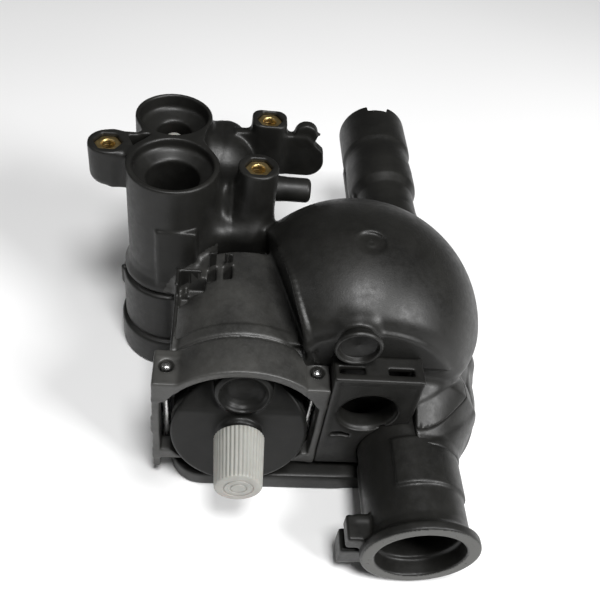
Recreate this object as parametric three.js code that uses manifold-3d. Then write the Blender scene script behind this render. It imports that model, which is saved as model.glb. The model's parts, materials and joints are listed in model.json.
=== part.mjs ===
// Boiler hydraulic block with its diverter valve. Millimetres, +Z up.
// The origin is the centre of the tower's flat underside, which rests on the plane Z = 0.
// The tower stands on Z; the diverter barrel, the flow tube and the return tube all lie along Y.
import * as THREE from "three";
import { mergeVertices } from "three/addons/utils/BufferGeometryUtils.js";
import Module from "manifold-3d";

const wasm = await Module();
wasm.setup();

// ---- driving dimensions ----
const GAP = 0.3; // clearance between pieces that touch
const PAST = 1; // how far a cutting tool runs past the face it opens
const RIM = 105; // height of the port faces on the tower
const PARTING = 48; // plane where the upper and lower mouldings are welded
const WALL = 3.5;
const RECESS = { slope: 1.5, lip: 1 }; // sloping floor and lip of a port's recess
const CASING_STEPS = 36; // facets round the casing
const UPPER_BASE = PARTING + GAP / 2;
const LOWER_TOP = PARTING - GAP / 2;

// Tower and the smaller socket behind it: radii from the outside in, then heights.
const TOWER = {
  r: 19.5, midR: 22.5, footR: 24.3, recessR: 17, bore: 11.3,
  step: 18, skirt: 6, recess: 5, floor: 8, deep: 40,
};
const SMALL = {
  x: -2, y: 35.8, r: 17.1, recessR: 15.2, bore: 7.8, recess: 7, floor: 54, well: 58, bottom: 8,
};
const PAD = { x0: -5.8, x1: 11.5, y0: -20.3, z1: 85.5 }; // flat front of the tower
const CROSSING = { side: 30, sideR: 8, reach: 60, check: 56, checkR: 6, wellR: 11 }; // inner water ways

// Web that joins the tower, the sockets and the barrel.
const CORE = { x0: 0, x1: 40, y0: -12, y1: 34, z1: 80, corner: 5 };
const SADDLE = { x0: 4, x1: 34, y0: 0, y1: 44, z0: 79, z1: 92, corner: 6 };
const HUMP = { x: 23, y0: 28, y1: 45, z: 89, r: 9.5 };

const INSERT = { corner: 6, thread: 2.6, height: 9, sunk: 0.2, pocket: 6.4 };
const BOSSES = [
  { name: "insert_left", x: -28.1, y: 12.2, r: 8.5, foot: 88 },
  { name: "insert_front", x: 35.9, y: 2.7, r: 8.8, foot: 62 },
  { name: "insert_rear", x: 41.1, y: 38.9, r: 7.6, foot: 80 },
];
const REAR_BLOCK = { halfX: 8, halfY: 7, corner: 4 };
const WEB = { back: 23, y0: 10, z0: 88, z1: RIM - 0.6 }; // between the left boss and the tower
const ARM = {
  front: 34, back: 39, x0: 28, x1: 68.4, z0: 78.6, z1: 100.5, corner: 8, shoulder: 93, slope: 9,
  lugX: 58.4, lugZ: 101, lugR: 5.4,
};

const DOME = { x: 82.5, y: -32.3, r: 56.9, face: -70.5 }; // face: the flat front of the dome, on Y
const WAIST = { r: 53.5, low: 46, high: 50, casingR: 58.4, casingZ: 40, domeR: 56, domeZ: 58, out: 64 };
const FOOT = { r: 70, front: -89, lip: 6, toe: 9 }; // flared foot of the casing
const CASING = [[65, 14], [60, 30]]; // radius and height where its flank changes slope
const MOUTH = { x: 86.5, y: -26.3, r: 36, top: 11 }; // the pump mouth in the casing's underside
const CAVITY = { x0: 50, domeX0: 44, domeR: 50, floor: 10, r: 50, flank: 52, flankZ: 20, shoulder: 30 };
const FLANK_RIBS = { angles: [-6, -32], reach: 54, profile: [[11, 0], [10.4, 20], [8, 32]], top: 36 };
const PLINTH = { x0: 0, x1: 50, y0: -20, y1: 34, corner: 8 };
const SOLE = { x0: 5, x1: 92, back: -30, z1: 9, corner: 15 };
const NOSE = { x: 75.5, z: 85, r: 8, rootR: 8.6, front: -72.3, taper: -68, back: -50 };
const SENSOR = { r: 10.2, neckR: 6.9, stemR: 4.5, front: -78, shoulder: -75.5, back: -72.6, stemBack: -67 };

// The dome's side towards the barrel: a wall through a point, undercut by its normal, down to a floor.
const TRIM = { point: [52.3, -41, 68], normal: [1, 0.288, 0.16], floor: 66 };

// Diverter barrel, along Y: radii, then places across (left, right) and along the axis.
const BARREL = {
  x: 33.4, z: 38.5, front: -84, cheek: -70.5, collar: -66.5, back: -16,
  hoodR: 37.5, rearR: 35.5, mouthR: 33.8, plugR: 31, plugBack: -64, chamberR: 20, throatR: 7,
  left: -2, right: 67.5, legLeft: 1.2, legRight: 64.3, rearLeft: 3.5, rearRight: 62,
  foot: 6.3, sill: 13, sillTop: 19.5, chamberFront: -65, chamberBack: -26, throatBack: -18.5,
};
const BEAD = { front: BARREL.collar + 2, width: 2.4, rise: 1.2 };
const LUG = { top: 66, bottom: 54, back: -69.7, innerLeft: 8.5, innerRight: 57 };
const PIN = {
  xLeft: 3.1, xRight: 62.5, y: -74.6, r: 1.95, top: 66, bottom: 15, point: 1,
  holeR: 2.35, holeBottom: 9, sinkR: 2.9, sink: 1.5,
};
const WEBS = { xs: [7, 14], thick: 1.6, y0: -34, y1: -25, z0: 58.5, z1: 78.5 };
const POCKETS = { xs: [[11, 18], [21, 25.5]], y0: -30, y1: -23, z0: 65.5, z1: 80 };
const SIDE_PORT = { y: -45, r: 4 };
const LOWER_PORT = { dx: 12, y: -29, r: 4, z0: 24.5, z1: 48.5 };

const FLOW = {
  x: 106, z: 25.8, r: 20.5, bore: 18.1, step: 1.2, sealDepth: 7,
  flangeR: 23.9, flange: 4, fillet: 3, front: -132, back: -70.8, inlet: -60,
};
const FLOW_PAD = { x0: -11, x1: 12, front: -111, back: -94.6, rise: 1 };
const FAIRING = { x0: 103.8, back: -48, backR: 27, bulge: -70.5, bulgeR: 34.5, front: -94, frontR: 22.4 };
const FLOW_EARS = [
  { out: 9, y0: -128, y1: -117, z0: 23.5, z1: 31 },
  { out: 10, y0: -127, y1: -117, z0: 7.5, z1: 19 },
  { out: 5, y0: -120, y1: -117, z0: 8, z1: 31 },
];
const EAR_ROOT = 5; // how far the ears run into the tube's side
const RETURN = {
  x: 104.2, z: 60, r: 18.2, rootR: 15.6, bore: 13, root: 6, end: 103, notch: 10.7, notchDepth: 4, weld: 60,
  waist: [[15.6, 20], [14.8, 28], [14.8, 42], [17, 46.5], [17.3, 60], [16.8, 72], [18.2, 77]],
};
const RETURN_FIN = { out: 1.5, in: 8, y0: 28, y1: 76, z0: -10, z1: -6 };
const SPIGOT = {
  y: 25, z: 77.3, r: 5.8, bore: 3.2, x0: 40.5, x1: 62.8, tailR: 3.9, tail: 6, rootR: 6.8, flare: 11, hole: 10,
};

const BRACKET = {
  x0: 67.8, x1: 103.5, z0: 14, z1: 74, front: -84, depth: 12.5, sheet: 2.5, side: 2, sideZ: 50, heel: 3,
};
const BRACKET_HOLE = { x: 84.7, z: 51.8, r: 12.3, collar: 2, collarDepth: 9, step: 0.5 };
const SLOTS = { xs: [1.5, 21.5], length: 10.5, front: -80.4, back: -77.2, depth: 5 };
const KEYHOLE = { x: 8, z: 36, r: 1.7, tail: 3.5, tailHalf: 1.2 };

// Bonnet: places along Y of its plug and neck, then the leaning disc on its front.
const BONNET = {
  boreR: 3, nozzleR: 12, plugR: 30.6, grooveR: 29, neckR: 7.5, wallR: 26,
  back: -63.6, shoulder: -66.2, grooveBack: -67.6, grooveFront: -70.2, plugFront: -72.2,
  wallFront: -80, knobSeat: -88.4, neck: -98,
};
const DISC = { r: 28, y: -87, thick: 7, edge: 1.5, lean: THREE.MathUtils.degToRad(-12) };
const SLOPE = { y: -84.5, z: 50.4, depth: 30, lean: THREE.MathUtils.degToRad(56) }; // above the disc's crest
const CUP = { x: 33.7, y: -84.4, z: 61.6, r: 11.6, bowl: 9.2, depth: 12, floor: 6 };
const CUP_LEAN = THREE.MathUtils.degToRad(-8);
const SEAL = { r: 30.8, inner: 29.3, front: -69.9, back: -67.9 };

const KNOB = {
  backR: 10.4, frontR: 9.5, back: -88.9, front: -111.5, bore: 8.2, end: 3, ribs: 36, flute: 0.5,
};
const SPINDLE = { r: 2.5, front: -98, back: -32 };
const SEATS = { r: 19.7, bore: 10.5, front: [-54, -49], rear: [-41, -36] };
const POPPET = { r: 13, thick: 2, front: -62.8, rear: -34.1 };
const WASHER = { r: 12.4, bore: 5, thick: 1.2, front: -60.5, rear: -35.6 };
const RETURN_SPRING = { r: 5.2, wire: 0.6, back: -19, length: 12.6, turns: 5 };
const CHECK = {
  r: 7.5, bore: 5.9, guide: 2.2, floor: 2, bottom: 64, top: 78,
  stem: 1.8, tail: 3, headR: 4.3, head: 87, tip: 95,
};
const CHECK_SPRING = { r: 3.4, wire: 0.45, bottom: 66.3, turns: 5 };

// ---- materials ----
function finish(color, roughness, metalness = 0) {
  return new THREE.MeshStandardMaterial({ color, roughness, metalness });
}
const NYLON = finish(0x262623, 0.5);
const MACHINED = finish(0x34342f, 0.6);
const BRASS = finish(0xaa8a46, 0.35, 1);
const STEEL = finish(0xc4c4c0, 0.3, 1);
const GREY = finish(0xb6b4ac, 0.55);
const RUBBER = finish(0x141414, 0.8);

// ---- solids ----
const WELD = 1e-4; // vertices closer than this become one

// A closed three.js geometry as a manifold-3d solid whose faces point outwards.
function solid(geometry) {
  const bare = geometry.index ? geometry.toNonIndexed() : geometry.clone();
  bare.deleteAttribute("normal");
  bare.deleteAttribute("uv");
  const merged = mergeVertices(bare, WELD);
  const index = merged.index.array;
  const triangles = [];
  for (let i = 0; i < index.length; i += 3) {
    const [a, b, c] = [index[i], index[i + 1], index[i + 2]];
    const flat = a === b || b === c || c === a;
    if (!flat) triangles.push(a, b, c);
  }
  const build = (list) => new wasm.Manifold(new wasm.Mesh({
    numProp: 3, vertProperties: merged.attributes.position.array, triVerts: new Uint32Array(list),
  }));
  const made = build(triangles);
  return made.volume() < 0 ? build(triangles.reverse()) : made;
}

const join = (...parts) => parts.reduce((a, b) => a.add(b));
const cut = (body, ...tools) => tools.reduce((a, b) => a.subtract(b), body);

function box(x0, x1, y0, y1, z0, z1) {
  const g = new THREE.BoxGeometry(x1 - x0, y1 - y0, z1 - z0);
  return solid(g.translate((x0 + x1) / 2, (y0 + y1) / 2, (z0 + z1) / 2));
}

// Turned solids: the profile lists [radius, height along the axis].
function lathe(profile, steps) {
  return new THREE.LatheGeometry(profile.map(([r, h]) => new THREE.Vector2(r, h)), steps);
}
function turnedZ(x, y, profile, steps = 32) {
  return solid(lathe(profile, steps).rotateX(Math.PI / 2).translate(x, y, 0));
}
function turnedY(x, z, profile, steps = 32) {
  return solid(lathe(profile, steps).translate(x, 0, z));
}
function turnedX(y, z, profile, steps = 24) {
  return solid(lathe(profile, steps).rotateZ(-Math.PI / 2).translate(0, y, z));
}
const rod = (r, a, b) => [[0, a], [r, a], [r, b], [0, b]];
const pipe = (outer, inner, a, b) => [[inner, a], [outer, a], [outer, b], [inner, b], [inner, a]];
const rodZ = (x, y, r, z0, z1, steps = 32) => turnedZ(x, y, rod(r, z0, z1), steps);
const rodY = (x, z, r, y0, y1, steps = 32) => turnedY(x, z, rod(r, y0, y1), steps);
const rodX = (y, z, r, x0, x1, steps = 24) => turnedX(y, z, rod(r, x0, x1), steps);
function ball(x, y, z, r, steps = 32) {
  return solid(new THREE.SphereGeometry(r, steps, steps / 2).translate(x, y, z));
}

// An upright block with rounded corners.
function roundedBlock(x0, x1, y0, y1, z0, z1, radius) {
  const s = new THREE.Shape();
  s.moveTo(x0 + radius, y0);
  s.lineTo(x1 - radius, y0).absarc(x1 - radius, y0 + radius, radius, -Math.PI / 2, 0);
  s.lineTo(x1, y1 - radius).absarc(x1 - radius, y1 - radius, radius, 0, Math.PI / 2);
  s.lineTo(x0 + radius, y1).absarc(x0 + radius, y1 - radius, radius, Math.PI / 2, Math.PI);
  s.lineTo(x0, y0 + radius).absarc(x0 + radius, y0 + radius, radius, Math.PI, 1.5 * Math.PI);
  const g = new THREE.ExtrudeGeometry(s, { depth: z1 - z0, bevelEnabled: false, curveSegments: 6 });
  return solid(g.translate(0, 0, z0));
}

// The middle line of a coil spring, wound round an axis that runs from z0 to z1.
class Helix extends THREE.Curve {
  constructor(radius, z0, z1, turns) {
    super();
    Object.assign(this, { radius, z0, z1, turns });
  }
  getPoint(t, target = new THREE.Vector3()) {
    const a = 2 * Math.PI * this.turns * t;
    const z = this.z0 + (this.z1 - this.z0) * t;
    return target.set(this.radius * Math.cos(a), this.radius * Math.sin(a), z);
  }
}
const STEPS_PER_TURN = 8;
function coil({ r, wire, turns }, z0, z1) {
  const section = new THREE.Shape().absarc(0, 0, wire, 0, 2 * Math.PI);
  const path = new Helix(r, z0 + wire, z1 - wire, turns);
  const steps = STEPS_PER_TURN * turns;
  return new THREE.ExtrudeGeometry(section, { steps, extrudePath: path, curveSegments: 3 });
}

const model = new THREE.Group();
function add(name, body, material) {
  const { vertProperties, triVerts } = body.getMesh();
  const g = new THREE.BufferGeometry();
  g.setAttribute("position", new THREE.BufferAttribute(vertProperties, 3));
  g.setIndex(new THREE.BufferAttribute(triVerts, 1));
  g.computeVertexNormals();
  const mesh = new THREE.Mesh(g, material);
  mesh.name = name;
  model.add(mesh);
}

// ---- diverter barrel: hood, pin lugs, legs and the valve chamber ----
const axial = (r, y0, y1, steps) => rodY(BARREL.x, BARREL.z, r, y0, y1, steps); // a rod on the barrel's axis

// The outline seen along Y: a round crown that ends in flat sides and a flat foot.
function arch(radius, x0, x1, z0, y0, y1) {
  const { x, z } = BARREL;
  const crown = axial(radius, y0, y1, 40);
  const waist = box(x - radius, x + radius, y0, y1, z0, z);
  return join(crown, waist).intersect(box(x0, x1, y0, y1, z0, z + radius + PAST));
}

// The room that the mouldings leave for the barrel, which grows the barrel's shape by a clearance.
function barrelEnvelope(grow) {
  const { left, right, rearLeft, rearRight, front, collar, back, foot, hoodR, rearR } = BARREL;
  const [y0, y1, low] = [front - PAST, collar + grow, foot - grow];
  return join(
    arch(hoodR + grow, left - grow, right + grow, low, y0, y1),
    box(left - grow, right + grow, y0, y1, low, LUG.top + grow),
    arch(rearR + BEAD.rise + grow, rearLeft - grow, rearRight + grow, BARREL.sillTop, collar,
      BEAD.front + BEAD.width + grow),
    arch(rearR + grow, rearLeft - grow, rearRight + grow, low, collar, back + grow),
  );
}

function barrelFront() {
  const { left, right, front, collar, cheek, foot, sill, sillTop, legLeft, legRight } = BARREL;
  const lugs = [[left, LUG.innerLeft], [LUG.innerRight, right]]
    .map(([a, b]) => box(a, b, front, LUG.back, LUG.bottom, LUG.top));
  return join(
    arch(BARREL.hoodR, LUG.innerLeft - PAST, LUG.innerRight + PAST, LUG.bottom, front, collar),
    ...lugs,
    box(left, legLeft, front, collar, foot, LUG.bottom + PAST),
    box(legRight, right, front, collar, sill, LUG.bottom + PAST),
    box(left, right, cheek, collar, sill, LUG.top),
    box(left, right, front, cheek, sill, sillTop),
  );
}

function barrelRear() {
  const { rearR, rearLeft, rearRight, foot, collar, back, z } = BARREL;
  const bead = arch(rearR + BEAD.rise, rearLeft, rearRight, z, BEAD.front, BEAD.front + BEAD.width);
  const webs = WEBS.xs.map((x) => box(x, x + WEBS.thick, WEBS.y0, WEBS.y1, WEBS.z0, WEBS.z1));
  return join(arch(rearR, rearLeft, rearRight, foot, collar - PAST, back), bead, ...webs);
}

function pinHole(x) {
  const { y, holeR, holeBottom, sinkR, sink } = PIN;
  const rim = LUG.top + PAST;
  const mouth = [[0, LUG.top - sink], [holeR, LUG.top - sink], [sinkR, LUG.top], [sinkR, rim], [0, rim]];
  return join(rodZ(x, y, holeR, holeBottom, rim, 20), turnedZ(x, y, mouth, 20));
}

function diverterBarrel() {
  const { x, z, front, cheek, mouthR, plugR, plugBack, legLeft, legRight, sillTop } = BARREL;
  const y0 = front - PAST;
  const mouth = axial(mouthR, y0, cheek, 36).intersect(box(legLeft, legRight, y0, cheek, sillTop, RIM));
  const lower = { ...LOWER_PORT, x: x + LOWER_PORT.dx };
  return cut(
    join(barrelFront(), barrelRear()),
    mouth,
    axial(plugR, y0, plugBack, 36),
    axial(BARREL.chamberR, BARREL.chamberFront, BARREL.chamberBack),
    axial(BARREL.throatR, BARREL.chamberBack - PAST, BARREL.throatBack, 24),
    rodX(SIDE_PORT.y, z, SIDE_PORT.r, x, BARREL.right + PAST),
    rodZ(lower.x, lower.y, lower.r, lower.z0, lower.z1, 16),
    ...POCKETS.xs.map(([a, b]) => box(a, b, POCKETS.y0, POCKETS.y1, POCKETS.z0, POCKETS.z1)),
    pinHole(PIN.xLeft),
    pinHole(PIN.xRight),
  );
}

// The hole in both mouldings that the return tube is welded into.
const returnSocket = () => rodY(RETURN.x, RETURN.z, RETURN.rootR + GAP, RETURN.root - GAP, RETURN.weld);

// ---- upper moulding: tower top, port sockets, saddle and dome ----
function domeSolid(radius, face) {
  const clip = box(DOME.x - radius, DOME.x + radius, face, DOME.y + radius, UPPER_BASE, PARTING + radius);
  return ball(DOME.x, DOME.y, PARTING, radius, 36).intersect(clip);
}

// Everything behind a plane through a point; the normal points away from what is kept.
function behindPlane(point, normal, offset) {
  const n = new THREE.Vector3(...normal).normalize();
  const size = 4 * DOME.r;
  const slab = new THREE.BoxGeometry(size, size, size).translate(0, 0, -size / 2);
  slab.applyQuaternion(new THREE.Quaternion().setFromUnitVectors(new THREE.Vector3(0, 0, 1), n));
  const at = new THREE.Vector3(...point).addScaledVector(n, offset);
  return solid(slab.translate(at.x, at.y, at.z));
}

// The room above the barrel that the dome keeps clear of.
function domeTrim(grow) {
  const above = box(0, DOME.x, DOME.y - DOME.r, DOME.y + DOME.r, TRIM.floor - grow, RIM);
  return behindPlane(TRIM.point, TRIM.normal, grow).intersect(above);
}

// A shallow groove round the casing where the two mouldings meet.
function waist() {
  const { r, low, high, casingR, casingZ, domeR, domeZ, out } = WAIST;
  return turnedZ(DOME.x, DOME.y, [
    [r, low], [casingR, casingZ], [out, casingZ], [out, domeZ], [domeR, domeZ], [r, high], [r, low],
  ], CASING_STEPS);
}

// The bulge that carries the casing's flank forward onto the flow tube, between two heights.
function fairing(z0, z1) {
  const { x0, back, backR, bulge, bulgeR, front, frontR } = FAIRING;
  const profile = [[0, front], [frontR, front], [bulgeR, bulge], [backR, back], [0, back]];
  const cone = turnedY(FLOW.x, FLOW.z, profile, CASING_STEPS);
  return cone.intersect(box(x0, FLOW.x + bulgeR, front, back, z0, z1));
}

// A port's recess, its sloping floor and the bore under it.
function socketCut(x, y, { recessR, recess, bore }, floor) {
  const [seat, top] = [RIM - recess, RIM + PAST];
  return turnedZ(x, y, [
    [0, floor], [bore, floor], [bore, seat - RECESS.slope], [recessR - RECESS.lip, seat],
    [recessR, seat + RECESS.lip], [recessR, top], [0, top],
  ]);
}

function armPlate() {
  const { front, back, x0, x1, z0, z1, corner, shoulder, slope } = ARM;
  const s = new THREE.Shape();
  s.moveTo(x0, z0);
  s.lineTo(x1 - corner, z0).absarc(x1 - corner, z0 + corner, corner, -Math.PI / 2, 0);
  s.lineTo(x1, shoulder).lineTo(x1 - slope, z1);
  s.lineTo(x0, z1);
  const g = new THREE.ExtrudeGeometry(s, { depth: back - front, bevelEnabled: false, curveSegments: 5 });
  const lug = rodY(ARM.lugX, ARM.lugZ, ARM.lugR, front + PAST, back + PAST, 20);
  return solid(g.rotateX(Math.PI / 2).translate(0, back, 0)).add(lug);
}

const hexPocket = ({ x, y }) => rodZ(x, y, INSERT.pocket, RIM - INSERT.height - GAP, RIM + PAST, 6);

// The boss columns and the web that carries the left one.
function bosses() {
  const [left, front, rear] = BOSSES;
  const { halfX, halfY, corner } = REAR_BLOCK;
  return join(
    rodZ(left.x, left.y, left.r, left.foot, RIM, 24),
    box(left.x, SMALL.x, WEB.y0, WEB.back, WEB.z0 + 2, WEB.z1),
    box(left.x, 0, left.y - left.r, left.y, WEB.z0, WEB.z1),
    rodZ(front.x, front.y, front.r, front.foot, RIM, 24),
    roundedBlock(rear.x - halfX, rear.x + halfX, rear.y - halfY, rear.y + halfY, rear.foot, RIM, corner),
  );
}

function towerTop() {
  const { r, midR, skirt } = TOWER;
  const cone = [[0, UPPER_BASE], [midR, UPPER_BASE], [midR, UPPER_BASE + 1.5], [r, UPPER_BASE + skirt],
    [0, UPPER_BASE + skirt]];
  return join(
    rodZ(0, 0, r, UPPER_BASE, RIM),
    turnedZ(0, 0, cone),
    rodZ(SMALL.x, SMALL.y, SMALL.r, UPPER_BASE, RIM),
    box(PAD.x0, PAD.x1, PAD.y0, 0, UPPER_BASE, PAD.z1),
  );
}

function saddle() {
  return join(
    roundedBlock(CORE.x0, CORE.x1, CORE.y0, CORE.y1, UPPER_BASE, CORE.z1, CORE.corner),
    roundedBlock(SADDLE.x0, SADDLE.x1, SADDLE.y0, SADDLE.y1, SADDLE.z0, SADDLE.z1, SADDLE.corner),
    rodY(HUMP.x, HUMP.z, HUMP.r, HUMP.y0, HUMP.y1),
    ball(HUMP.x, HUMP.y1, HUMP.z, HUMP.r, 20),
  );
}

function upperHousing() {
  const nose = turnedY(NOSE.x, NOSE.z, [
    [0, NOSE.front], [NOSE.r, NOSE.front], [NOSE.rootR, NOSE.taper], [NOSE.rootR, NOSE.back], [0, NOSE.back],
  ], 24);
  const side = box(CAVITY.domeX0, DOME.x + DOME.r, DOME.face, DOME.y + DOME.r, 0, RIM);
  const cavity = domeSolid(CAVITY.domeR, DOME.face + WALL).intersect(side).subtract(domeTrim(WALL));
  const dome = cut(domeSolid(DOME.r, DOME.face), domeTrim(0), waist());
  return cut(
    join(towerTop(), bosses(), saddle(), armPlate(), dome, nose, fairing(UPPER_BASE, RIM)),
    cavity,
    barrelEnvelope(GAP),
    socketCut(0, 0, TOWER, TOWER.deep),
    socketCut(SMALL.x, SMALL.y, SMALL, SMALL.floor),
    rodZ(SMALL.x, SMALL.y, CROSSING.wellR, TOWER.deep, SMALL.well),
    rodY(SMALL.x, CROSSING.check, CROSSING.checkR, 0, SMALL.y, 20),
    ...BOSSES.map(hexPocket),
    rodX(SPIGOT.y, SPIGOT.z, SPIGOT.tailR + GAP, SPIGOT.x0 - SPIGOT.hole, SPIGOT.x0 + SPIGOT.hole, 20),
    returnSocket(),
    rodY(NOSE.x, NOSE.z, SENSOR.stemR + GAP, NOSE.front - PAST, SENSOR.stemBack + GAP, 20),
  );
}

// ---- lower moulding: tower foot, flared casing and pump mouth ----
function flaredCasing() {
  const profile = [[0, 0], [FOOT.r, 0], [FOOT.r, FOOT.lip], ...CASING, [DOME.r, LOWER_TOP], [0, LOWER_TOP]];
  const whole = turnedZ(DOME.x, DOME.y, profile, CASING_STEPS);
  const reach = DOME.y + FOOT.r;
  const behind = whole.intersect(box(0, DOME.x + FOOT.r, DOME.face, reach, 0, LOWER_TOP));
  const toe = whole.intersect(box(0, DOME.x + FOOT.r, FOOT.front, reach, 0, FOOT.toe));
  return behind.add(toe);
}

function flankRib(degrees) {
  const a = THREE.MathUtils.degToRad(degrees);
  const x = DOME.x + FLANK_RIBS.reach * Math.cos(a);
  const y = DOME.y + FLANK_RIBS.reach * Math.sin(a);
  return turnedZ(x, y, [[0, 0], ...FLANK_RIBS.profile, [0, FLANK_RIBS.top]], 20);
}

function casingCavity() {
  const { x0, floor, r, flank, flankZ, shoulder } = CAVITY;
  const [outer, top] = [CAVITY.domeR, LOWER_TOP + PAST];
  const hollow = turnedZ(DOME.x, DOME.y, [
    [0, floor], [r, floor], [flank, flankZ], [outer, shoulder], [outer, top], [0, top],
  ], CASING_STEPS);
  return hollow.intersect(box(x0, DOME.x + DOME.r, DOME.face + WALL, DOME.y + DOME.r, 0, top));
}

function pumpCasing() {
  const { footR, midR, step } = TOWER;
  const towerFoot = turnedZ(0, 0, [
    [0, 0], [footR, 0], [footR, step - 0.6], [midR, step], [midR, LOWER_TOP], [0, LOWER_TOP],
  ]);
  const shape = join(
    flaredCasing().subtract(waist()),
    fairing(0, LOWER_TOP),
    ...FLANK_RIBS.angles.map(flankRib),
    towerFoot,
    rodZ(SMALL.x, SMALL.y, SMALL.r, SMALL.bottom, LOWER_TOP),
    roundedBlock(PLINTH.x0, PLINTH.x1, PLINTH.y0, PLINTH.y1, 0, LOWER_TOP, PLINTH.corner),
    roundedBlock(SOLE.x0, SOLE.x1, FOOT.front, SOLE.back, 0, SOLE.z1, SOLE.corner),
  );
  return cut(
    shape,
    casingCavity(),
    rodZ(MOUTH.x, MOUTH.y, MOUTH.r, -PAST, MOUTH.top),
    barrelEnvelope(GAP),
    returnSocket(),
    rodZ(0, 0, TOWER.bore, TOWER.floor, LOWER_TOP + PAST),
    rodX(0, CROSSING.side, CROSSING.sideR, 0, CROSSING.reach),
    rodY(FLOW.x, FLOW.z, FLOW.r + GAP, FAIRING.front - PAST, FLOW.back + GAP),
    rodY(FLOW.x, FLOW.z, FLOW.bore - PAST, FLOW.back - PAST, FLOW.inlet),
  );
}

// ---- tubes, spigot and bracket ----
function flowTube() {
  const { x, z, r, bore, step, sealDepth, flangeR, flange, fillet, front, back } = FLOW;
  const [neck, seal, inner] = [front + flange, front + sealDepth, bore - step];
  const tube = turnedY(x, z, [
    [inner, back], [r, back], [r, neck + fillet], [r + PAST, neck], [flangeR, neck], [flangeR, front],
    [bore, front], [bore, seal], [inner, seal], [inner, back],
  ], 36);
  const sleeve = rodY(x, z, r + FLOW_PAD.rise, FLOW_PAD.front, FLOW_PAD.back);
  const [padLeft, padRight] = [x + FLOW_PAD.x0, x + FLOW_PAD.x1];
  const pad = sleeve.intersect(box(padLeft, padRight, FLOW_PAD.front, FLOW_PAD.back, z, z + flangeR));
  const side = x - r;
  const ears = FLOW_EARS.map((e) => box(side - e.out, side + EAR_ROOT, e.y0, e.y1, e.z0, e.z1));
  return tube.add(join(pad, ...ears).subtract(rodY(x, z, r - 0.5, front, back + 5)));
}

function returnTube() {
  const { x, z, r, rootR, bore, root, end, notch, notchDepth, waist } = RETURN;
  const tube = turnedY(x, z, [[bore, root], [rootR, root], ...waist, [r, end], [bore, end], [bore, root]]);
  const fin = box(x - r + RETURN_FIN.out, x - RETURN_FIN.in, RETURN_FIN.y0, RETURN_FIN.y1, z + RETURN_FIN.z0,
    z + RETURN_FIN.z1);
  const slot = box(x - notch / 2, x + notch / 2, end - notchDepth, end + PAST, z, z + r + PAST);
  return cut(tube.add(fin.subtract(rodY(x, z, bore + 0.5, 0, end))), slot);
}

function hoseSpigot() {
  const { y, z, r, bore, x0, x1, tailR, tail, rootR, flare } = SPIGOT;
  return turnedX(y, z, [
    [bore, x0 - tail], [tailR, x0 - tail], [tailR, x0], [rootR, x0], [r, x0 + flare], [r, x1 - 1],
    [r - 0.8, x1], [bore, x1], [bore, x0 - tail],
  ]);
}

function bracketPlate() {
  const { x0, x1, z0, z1, front, depth, sheet, side, sideZ, heel } = BRACKET;
  const { x, z, r, collar, collarDepth, step } = BRACKET_HOLE;
  const back = front + depth;
  const plate = join(
    box(x0, x1, front, front + sheet, z0, z1),
    box(x0, x1, front, back, z1 - sheet, z1),
    box(x1 - side, x1, front, back, sideZ, z1),
    box(x0, x0 + heel, front, back, z0, z1),
    turnedY(x, z, pipe(r + collar, r - step, front + 1, front + collarDepth), 36),
  );
  const slots = SLOTS.xs.map((at) => {
    const left = x0 + at;
    return box(left, left + SLOTS.length, SLOTS.front, SLOTS.back, z1 - SLOTS.depth, z1 + PAST);
  });
  const [keyX, keyZ, through] = [x0 + KEYHOLE.x, KEYHOLE.z, front + sheet + PAST];
  return cut(
    plate,
    rodY(x, z, r, front - PAST, front + 2),
    rodY(x, z, r - step, front - PAST, back),
    ...slots,
    rodY(keyX, keyZ, KEYHOLE.r, front - PAST, through, 16),
    box(keyX, keyX + KEYHOLE.tail, front - PAST, through, keyZ - KEYHOLE.tailHalf, keyZ + KEYHOLE.tailHalf),
    rodY(FLOW.x, FLOW.z, FLOW.r + GAP, front - PAST, back + PAST),
  );
}

function sensorPlug() {
  const { r, neckR, stemR, front, shoulder, back, stemBack } = SENSOR;
  return turnedY(NOSE.x, NOSE.z, [
    [0, front], [r, front], [r, shoulder], [neckR, back], [stemR, back], [stemR, stemBack], [0, stemBack],
  ], 24);
}

// ---- bonnet and its seal ----
function bonnetPlug() {
  const b = BONNET;
  return turnedY(BARREL.x, BARREL.z, [
    [b.boreR, b.back], [b.nozzleR, b.back], [b.nozzleR + 2, b.shoulder], [b.plugR, b.shoulder],
    [b.plugR, b.grooveBack], [b.grooveR, b.grooveBack], [b.grooveR, b.grooveFront], [b.plugR, b.grooveFront],
    [b.plugR, b.plugFront], [b.wallR, b.plugFront], [b.wallR, b.wallFront], [b.neckR, b.wallFront],
    [b.neckR, b.neck + 1], [b.neckR - 1, b.neck], [b.boreR, b.neck], [b.boreR, b.back],
  ], 36);
}

// The disc leans back, and above its crest it slopes away under the hood.
function bonnetDisc() {
  const { r, y, thick, edge, lean } = DISC;
  const profile = [[0, 0], [r - edge, 0], [r, edge], [r, thick], [r - edge, thick + edge], [0, thick + edge]];
  const disc = solid(lathe(profile, 36).rotateX(lean).translate(BARREL.x, y, BARREL.z));
  const { depth } = SLOPE;
  const above = new THREE.BoxGeometry(2 * r, depth, depth).translate(0, depth / 2, depth / 2);
  const filled = join(disc, axial(BONNET.wallR, y + thick / 2, BONNET.plugFront, 36));
  return cut(filled, solid(above.rotateX(SLOPE.lean).translate(BARREL.x, SLOPE.y, SLOPE.z)));
}

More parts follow.
